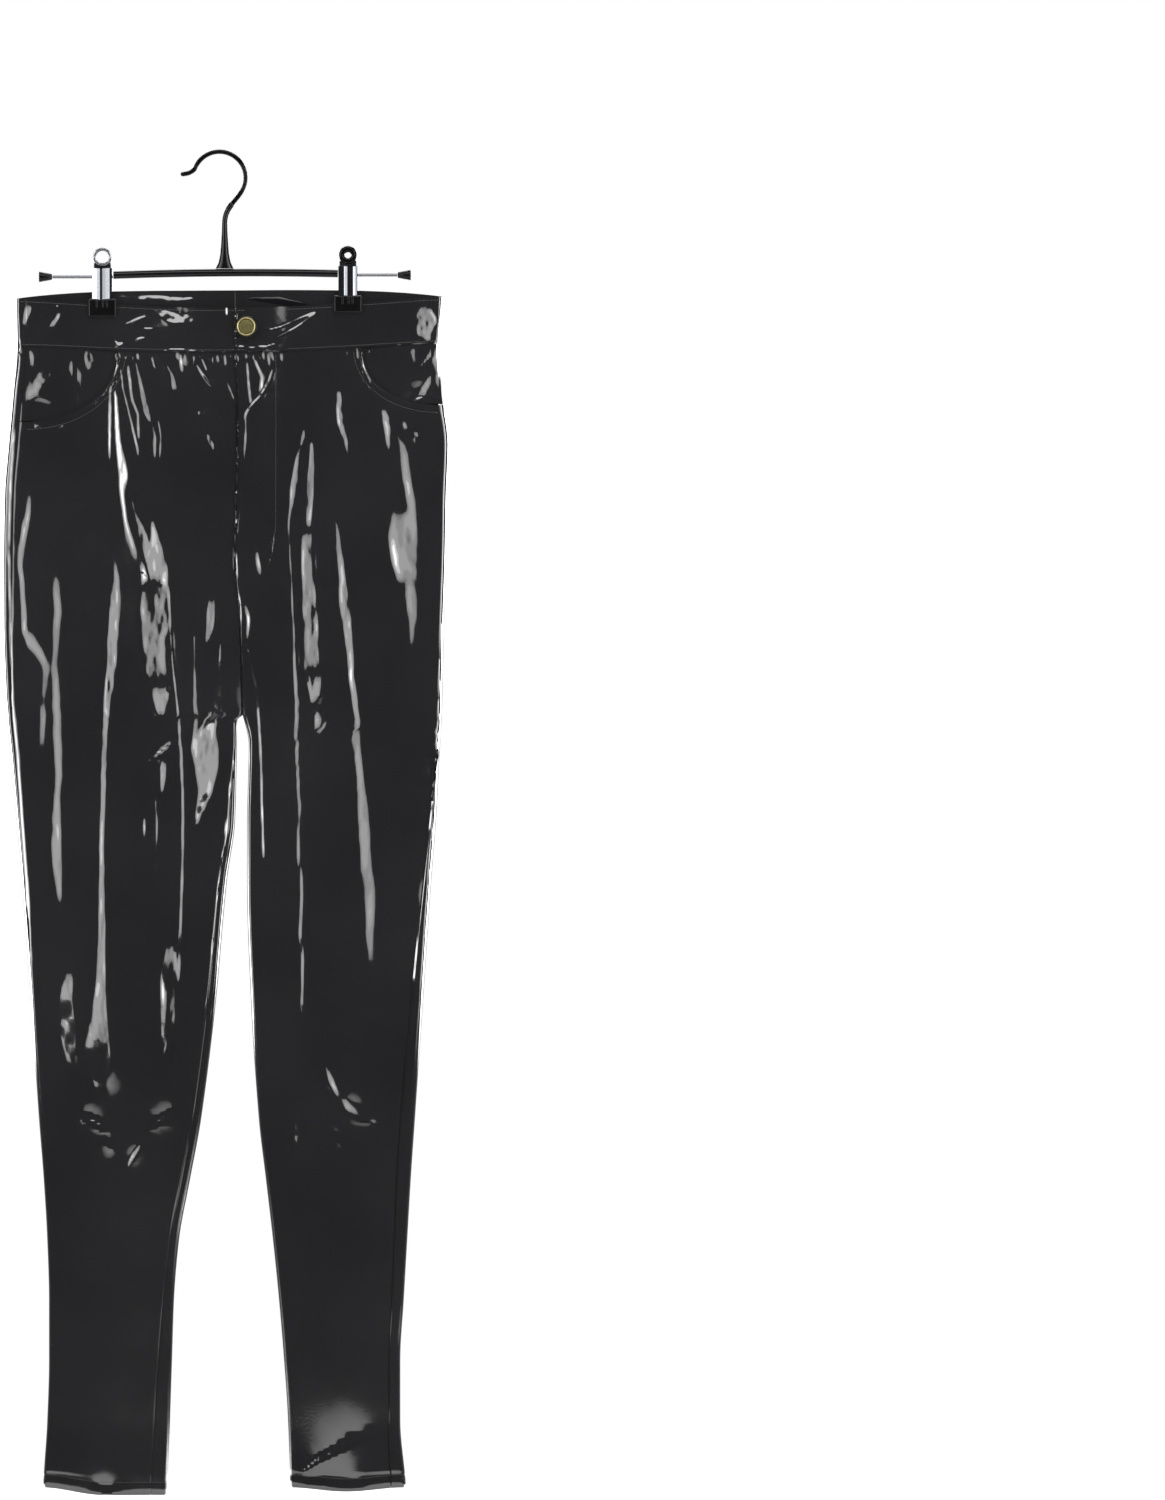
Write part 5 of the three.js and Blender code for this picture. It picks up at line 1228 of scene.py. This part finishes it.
def bar_and_rods():
    line = [(x, 0, bar_z(x), 1.0) for x in np.linspace(BAR[0][0], BAR[2][0], 40)]
    dress(bent_wire([line], BAR_RADIUS, 28), "bar", "hanger_bar", DIP)
    for side, way in (("right", -1), ("left", 1)):
        start = (BAR[0][0] if side == "right" else BAR[2][0]) + way * SEAM_GAP
        end = ROD_END[side]
        z = ROD_Z[side]
        rod = bent_wire([[(start, 0, z, 1), (end, 0, z, 1)]], ROD_RADIUS, 20)
        dress(rod, f"rod_end_{side}", f"rod_{side}", CHROME)
        middle = end + way * (SEAM_GAP + CAP_LENGTH / 2)
        bpy.ops.mesh.primitive_cone_add(vertices=40, radius1=2.4 * MM, radius2=4.6 * MM, depth=CAP_LENGTH * MM,
                                        location=(middle * MM, 0, z * MM), rotation=(0, way * math.pi / 2, 0))
        cap = settle(bpy.context.object)
        bpy.ops.object.mode_set(mode="EDIT")
        bpy.ops.mesh.select_all(action="SELECT")
        bpy.ops.mesh.edges_select_sharp(sharpness=math.radians(45))
        bevel_edges(0.9)
        bpy.ops.object.mode_set(mode="OBJECT")
        dress(cap, f"rod_cap_{side}", f"end_cap_{side}", RUBBER)


# Sections across the front jaws: x from the clip's middle, and how far the bent steel stands forward
JAW_FOLDS = {
    "right": [(-8.3, 0.0), (-7.4, 0.3), (-2.2, 2.05), (-1.3, 2.2), (-0.2, 2.05), (5.5, 0.3), (6.3, 0.0), (8.3, 0.0)],
    "left": [(-8.3, 0.0), (-3.2, 0.1), (-2.9, 0.2), (-0.4, 1.15), (0.0, 1.2), (4.2, 1.2), (4.5, 1.1), (7.3, 0.0),
             (8.3, 0.0)],
    "plain": [(-8.3, 0.0), (-6.5, 0.6), (6.5, 0.6), (8.3, 0.0)],
}


def folded_steel(section, low, high, way):
    """A strip of sheet steel bent along this section, between two heights"""
    bpy.ops.curve.primitive_bezier_curve_add(location=(0, 0, (low + high) / 2 * MM))
    strip = bpy.context.object
    strip.data.splines.clear()
    strip.data.dimensions = "3D"
    spline = strip.data.splines.new("POLY")
    spline.points.add(len(section) - 1)
    for point, (x, forward) in zip(spline.points, section):
        point.co = (x * MM, way * forward * MM, 0, 1)
    strip.data.extrude = (high - low) / 2 * MM
    pick(strip)
    bpy.ops.object.convert(target="MESH")
    strip = bpy.context.object
    bpy.ops.object.mode_set(mode="EDIT")
    bpy.ops.mesh.select_all(action="SELECT")
    bpy.ops.mesh.remove_doubles(threshold=1e-6)
    bpy.ops.mesh.solidify(thickness=-way * 0.9 * MM)
    bpy.ops.mesh.select_all(action="SELECT")
    bpy.ops.mesh.normals_make_consistent(inside=False)
    bpy.ops.object.mode_set(mode="OBJECT")
    return strip


def finger_ring(height, ball):
    """The ring a finger presses: flat on one clip, swelled nearly to a ball on the other"""
    major, minor, flat = (5.3, 2.7, 1.0) if ball else (6.75, 1.25, 0.75)
    bpy.ops.mesh.primitive_torus_add(major_radius=major * MM, minor_radius=minor * MM, major_segments=56,
                                     minor_segments=20, location=(0, 0, height * MM), rotation=(math.pi / 2, 0, 0))
    ring = bpy.context.object
    ring.scale = (1, 1, flat)
    return settle(ring)


def clips():
    for side in SIDES:
        x, rod_z = CLIP_X[side], ROD_Z[side]
        top, bottom = PAD_Z[side]
        coil = []
        for turn in np.linspace(0, 9, 181):
            angle = 2 * math.pi * turn
            along = lerp(-1, 1, turn / 9) * (BARREL_LENGTH / 2 - 0.7)
            radius = BARREL_RADIUS - 0.7
            coil.append((x + along, radius * math.cos(angle), rod_z + radius * math.sin(angle), 1))
        dress(bent_wire([coil], 0.7, 8), f"spring_{side}", f"clip_barrel_{side}", CHROME)
        for layer, way in (("front", -1), ("back", 1)):
            height = rod_z - top
            section = JAW_FOLDS[side] if layer == "front" else JAW_FOLDS["plain"]
            ring_at = height + 17.0
            parts = [folded_steel(section, -1.2, height + 7.4, way),
                     block((14.6, 1.0, 5.4), (0, way * 0.1, height + 9.2), 0.4),
                     finger_ring(ring_at, side == "left")]
            # the wearer's left finger ring gets the darkened chrome: painted shade
            for part, metal in zip(parts, (CHROME, CHROME, CHROME_PAINTED_DARK if side == "left" else CHROME)):
                finish_mesh(part, metal, 25)
            jaw = join(parts)
            lever = math.tan(CLIP_LEAN) * height
            seat = (BARREL_RADIUS + SEAM_GAP) / math.cos(CLIP_LEAN) - lever + 0.6
            jaw.rotation_euler = (-way * CLIP_LEAN, 0, 0)
            jaw.location = (x * MM, way * seat * MM, (top + SEAM_GAP) * MM)
            dress(jaw, f"jaw_{layer}_{side}", f"clip_jaw_{layer}_{side}")
            grip = FOLD_RADIUS + SEAM_GAP + PAD_SIZE[1] / 2
            pad = block((*PAD_SIZE, top - bottom), (x, way * grip, (top + bottom) / 2), 1.3, 4)
            ribs = [block((2.0, 1.2, 7.0), (x + along, way * (grip + 1.9), top - 4.2), 0.55, 3)
                    for along in (-4.6, 0.6, 4.0)]
            dress(join([pad, *ribs]), f"boot_{layer}_{side}", f"clip_pad_{layer}_{side}", RUBBER)


BUTTON = {"x": 23.2, "z": -148.0, "radius": 9.0, "height": 2.6, "turned": 16, "hole": 1.25, "pitch": 5.2}
BUTTON_RINGS = [(8.25, 0.7, 1.5, PATINA), (7.3, 0.75, 1.85, BRASS), (6.35, 0.4, 1.75, PATINA)]


def waist_button():
    """A turned brass button: a raised pale rim, a dark groove inside it, and an aged face with two holes"""
    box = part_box("button")
    back_y = box[1][1] / MM
    bpy.ops.mesh.primitive_cylinder_add(vertices=72, radius=BUTTON["radius"] * MM, depth=1.9 * MM,
                                        location=(BUTTON["x"] * MM, (back_y - 0.95) * MM, BUTTON["z"] * MM),
                                        rotation=(math.pi / 2, 0, 0))
    disc = settle(bpy.context.object)
    bpy.ops.object.mode_set(mode="EDIT")
    bpy.ops.mesh.select_all(action="DESELECT")
    bpy.ops.mesh.edges_select_sharp(sharpness=math.radians(60))
    bevel_edges(0.5)
    bpy.ops.object.mode_set(mode="OBJECT")
    rings = []
    for major, minor, forward, metal in BUTTON_RINGS:
        bpy.ops.mesh.primitive_torus_add(major_radius=major * MM, minor_radius=minor * MM, major_segments=72,
                                         minor_segments=20, rotation=(math.pi / 2, 0, 0),
                                         location=(BUTTON["x"] * MM, (back_y - forward) * MM, BUTTON["z"] * MM))
        rings.append(bpy.context.object)
        finish_mesh(rings[-1], metal)
    turn = math.radians(BUTTON["turned"])
    bpy.ops.object.select_all(action="DESELECT")
    for way in (-1, 1):
        bpy.ops.mesh.primitive_cylinder_add(
            vertices=24, radius=BUTTON["hole"] * MM, depth=6 * MM, rotation=(math.pi / 2, 0, 0),
            location=((BUTTON["x"] + way * BUTTON["pitch"] / 2 * math.cos(turn)) * MM, back_y * MM,
                      (BUTTON["z"] - way * BUTTON["pitch"] / 2 * math.sin(turn)) * MM))
        drill = bpy.context.object
        pick(disc)
        cut = disc.modifiers.new("hole", "BOOLEAN")
        cut.operation = "DIFFERENCE"
        cut.object = drill
        bpy.ops.object.modifier_apply(modifier="hole")
        bpy.data.objects.remove(drill)
    finish_mesh(disc, AGED_BRASS)
    dress(join([disc, *rings]), "waist_button", "button")


def surface_points(side, x, z, out):
    """Points this far outside the front cloth"""
    x, z = np.broadcast_arrays(np.asarray(x, float), np.asarray(z, float))
    points = face_points(side, ring_from_x(side, x, z), z)
    points[:, 1] -= out
    return points


STITCH = 3.4         # from one stitch to the next
FLY_ROW = 33.0       # the fly's row stands this far from the centre
FLY_TURN_Z = -318
STITCH_LENGTH = 2.5
THREAD_RADIUS = 0.22


def stitch_lines(points):
    """Short raised stitches along a line of points"""
    step = np.linalg.norm(np.diff(points, axis=0), axis=1)
    run = np.concatenate([[0], np.cumsum(step)])
    lines = []
    for start in np.arange(0.6, run[-1] - STITCH_LENGTH, STITCH):
        line = []
        for share in (0.0, 0.25, 0.75, 1.0):
            at = [np.interp(start + share * STITCH_LENGTH, run, points[:, axis]) for axis in range(3)]
            at[1] += (0.22 if share in (0.0, 1.0) else 0.0) * (1 if at[1] < 0 else -1)
            line.append((*at, 1.0))
        lines.append(line)
    return lines


def stitching():
    rows = {"pockets": [], "waistband": [], "hems": [], "fly": []}
    angles = np.radians(np.linspace(3, 88, 60))
    for side in SIDES:
        pocket = POCKETS[side]
        for off in (2.0, 6.6):
            x = pocket["corner"] + TOWARDS[side] * (pocket["width"] + off) * np.sin(angles)
            z = waist_edge(WAIST_SEAM, x, True) - (pocket["depth"] + off) * np.cos(angles)
            rows["pockets"] += stitch_lines(surface_points(side, x, z, 0.3))
        z = hem_z(side, np.linspace(0.03, 0.97, 60)) + 11.0
        for way in (1, -1):
            rows["hems"] += stitch_lines(face_points(side, way * np.linspace(0.05, 0.95, 60), z)
                                         - np.array([0, way * 0.05, 0]))
        s = np.linspace(0.04, 0.99, 120)
        for way in (1, -1):
            for edge, drop in ((WAIST_TOP, -2.5), (WAIST_SEAM, 2.4)):
                outer, inner = edges_at(side, WAIST_SEAM["right"])
                z = waist_edge(edge, lerp(outer, inner, ring_t(s)), way > 0) + drop
                out = 0.1 + (LAP_LIFT if side == "left" and way > 0 else 0) * (s > 0.86)
                points = face_points(side, way * s, z)
                points[:, 1] -= way * out
                rows["waistband"] += stitch_lines(points)
    centre = SECTIONS["inner_left"][2]
    turn = np.radians(np.linspace(0, 84, 24))
    x = np.concatenate([np.full(60, centre + FLY_ROW), centre + FLY_ROW * np.cos(turn)])
    z = np.concatenate([np.linspace(-172, FLY_TURN_Z, 60), FLY_TURN_Z - FLY_ROW * np.sin(turn)])
    rows["fly"] += stitch_lines(surface_points("left", x, z, 0.3))
    for name, lines in rows.items():
        thread = bent_wire(lines, THREAD_RADIUS, 8)
        dress(thread, f"stitches_{name}", None, THREAD, 60)


hook_and_neck()
bar_and_rods()
clips()
waist_button()
stitching()

# Studio: a pale floor, a white surround that only dimly lights the cloth, and soft boxes on both sides
FLOOR_Z = -1.22
CAMERA_DISTANCE = 20.0
DRAWING_UNIT = 0.857 * MM
FRAME_HEIGHT = 1500 * DRAWING_UNIT
# from, to, radiance
SIDE_STRIPS = ((20.5, 23, 4.0), (23, 28, 6.0), (28, 36, 8.0), (36, 42, 14.0), (42, 54, 26.0))


def pale_floor():
    material, tree, output, place = new_material("studio_floor_pale")
    tone = add_node(tree, "ShaderNodeTexNoise", {"Scale": 2.0}, {"Vector": place})
    colour = add_node(tree, "ShaderNodeValToRGB", links={"Fac": tone.outputs["Fac"]})
    ramp_colours(colour, [(0.0, "#f1f1f0"), (1.0, "#f5f5f4")])
    shader = add_node(tree, "ShaderNodeBsdfPrincipled", {"Roughness": 0.9}, {"Base Color": colour.outputs["Color"]})
    tree.links.new(shader.outputs["BSDF"], output.inputs["Surface"])
    bpy.ops.mesh.primitive_circle_add(vertices=96, radius=2.6, fill_type="NGON", location=(0, 0, FLOOR_Z))
    floor = bpy.context.object
    floor.name = "floor"
    floor.data.materials.append(material)
    floor.select_set(False)


def surround(seen, felt):
    """White to the camera, a dim grey to the cloth"""
    world = bpy.data.worlds.new("surround")
    bpy.context.scene.world = world
    world.use_nodes = True
    tree = world.node_tree
    tree.nodes.clear()
    path = add_node(tree, "ShaderNodeLightPath")
    dim = add_node(tree, "ShaderNodeBackground", {"Color": (1, 1, 1, 1), "Strength": felt})
    bright = add_node(tree, "ShaderNodeBackground", {"Color": (1, 1, 1, 1), "Strength": seen})
    mix = add_node(tree, "ShaderNodeMixShader")
    tree.links.new(path.outputs["Is Camera Ray"], mix.inputs["Fac"])
    tree.links.new(dim.outputs["Background"], mix.inputs[1])
    tree.links.new(bright.outputs["Background"], mix.inputs[2])
    output = add_node(tree, "ShaderNodeOutputWorld")
    tree.links.new(mix.outputs["Shader"], output.inputs["Surface"])


def soft_box(name, at, aim, size, radiance):
    """A rectangular lamp whose face has this radiance"""
    data = bpy.data.lights.new(name, "AREA")
    data.shape = "RECTANGLE"
    data.size, data.size_y = size
    data.energy = radiance * size[0] * size[1] * math.pi
    lamp = bpy.data.objects.new(name, data)
    bpy.context.collection.objects.link(lamp)
    lamp.location = at
    lamp.rotation_euler = (Vector(aim) - Vector(at)).to_track_quat("-Z", "Y").to_euler()
    lamp.visible_camera = False


def lights():
    """Tall boxes either side of the lens, in front and behind, end at knee height. A wide one hangs above."""
    distance = 2.2
    low, high = -0.86, 0.9
    for place, turn in (("front", 0), ("back", 180)):
        for side in (-1, 1):
            for first, last, radiance in SIDE_STRIPS:
                middle = math.radians(turn + side * (first + last) / 2)
                width = 2 * distance * math.tan(math.radians((last - first) / 2))
                x, y = distance * math.sin(middle), -distance * math.cos(middle)
                centre = (low + high) / 2
                name = f"side_{place}_{side * first:+.0f}"
                soft_box(name, (x, y, centre), (0, 0, centre), (width, high - low), radiance)
    for place, way in (("front", -1), ("back", 1)):
        soft_box(f"top_{place}", (0, way * 1.5, 1.5), (0, 0, -0.4), (2.6, 1.1), 12.0)


def camera():
    data = bpy.data.cameras.new("camera")
    data.sensor_width = 36
    data.lens = 36 * CAMERA_DISTANCE / FRAME_HEIGHT
    data.clip_end = 100
    lens = bpy.data.objects.new("camera", data)
    bpy.context.collection.objects.link(lens)
    lens.location = ((1165 / 2 - 219.4) * DRAWING_UNIT, -CAMERA_DISTANCE, -(750 - 154) * DRAWING_UNIT)
    lens.rotation_euler = (math.radians(90), 0, 0)
    bpy.context.scene.camera = lens


pale_floor()
surround(1.0, 0.18)
lights()
camera()
bpy.context.scene.view_settings.view_transform = "Standard"
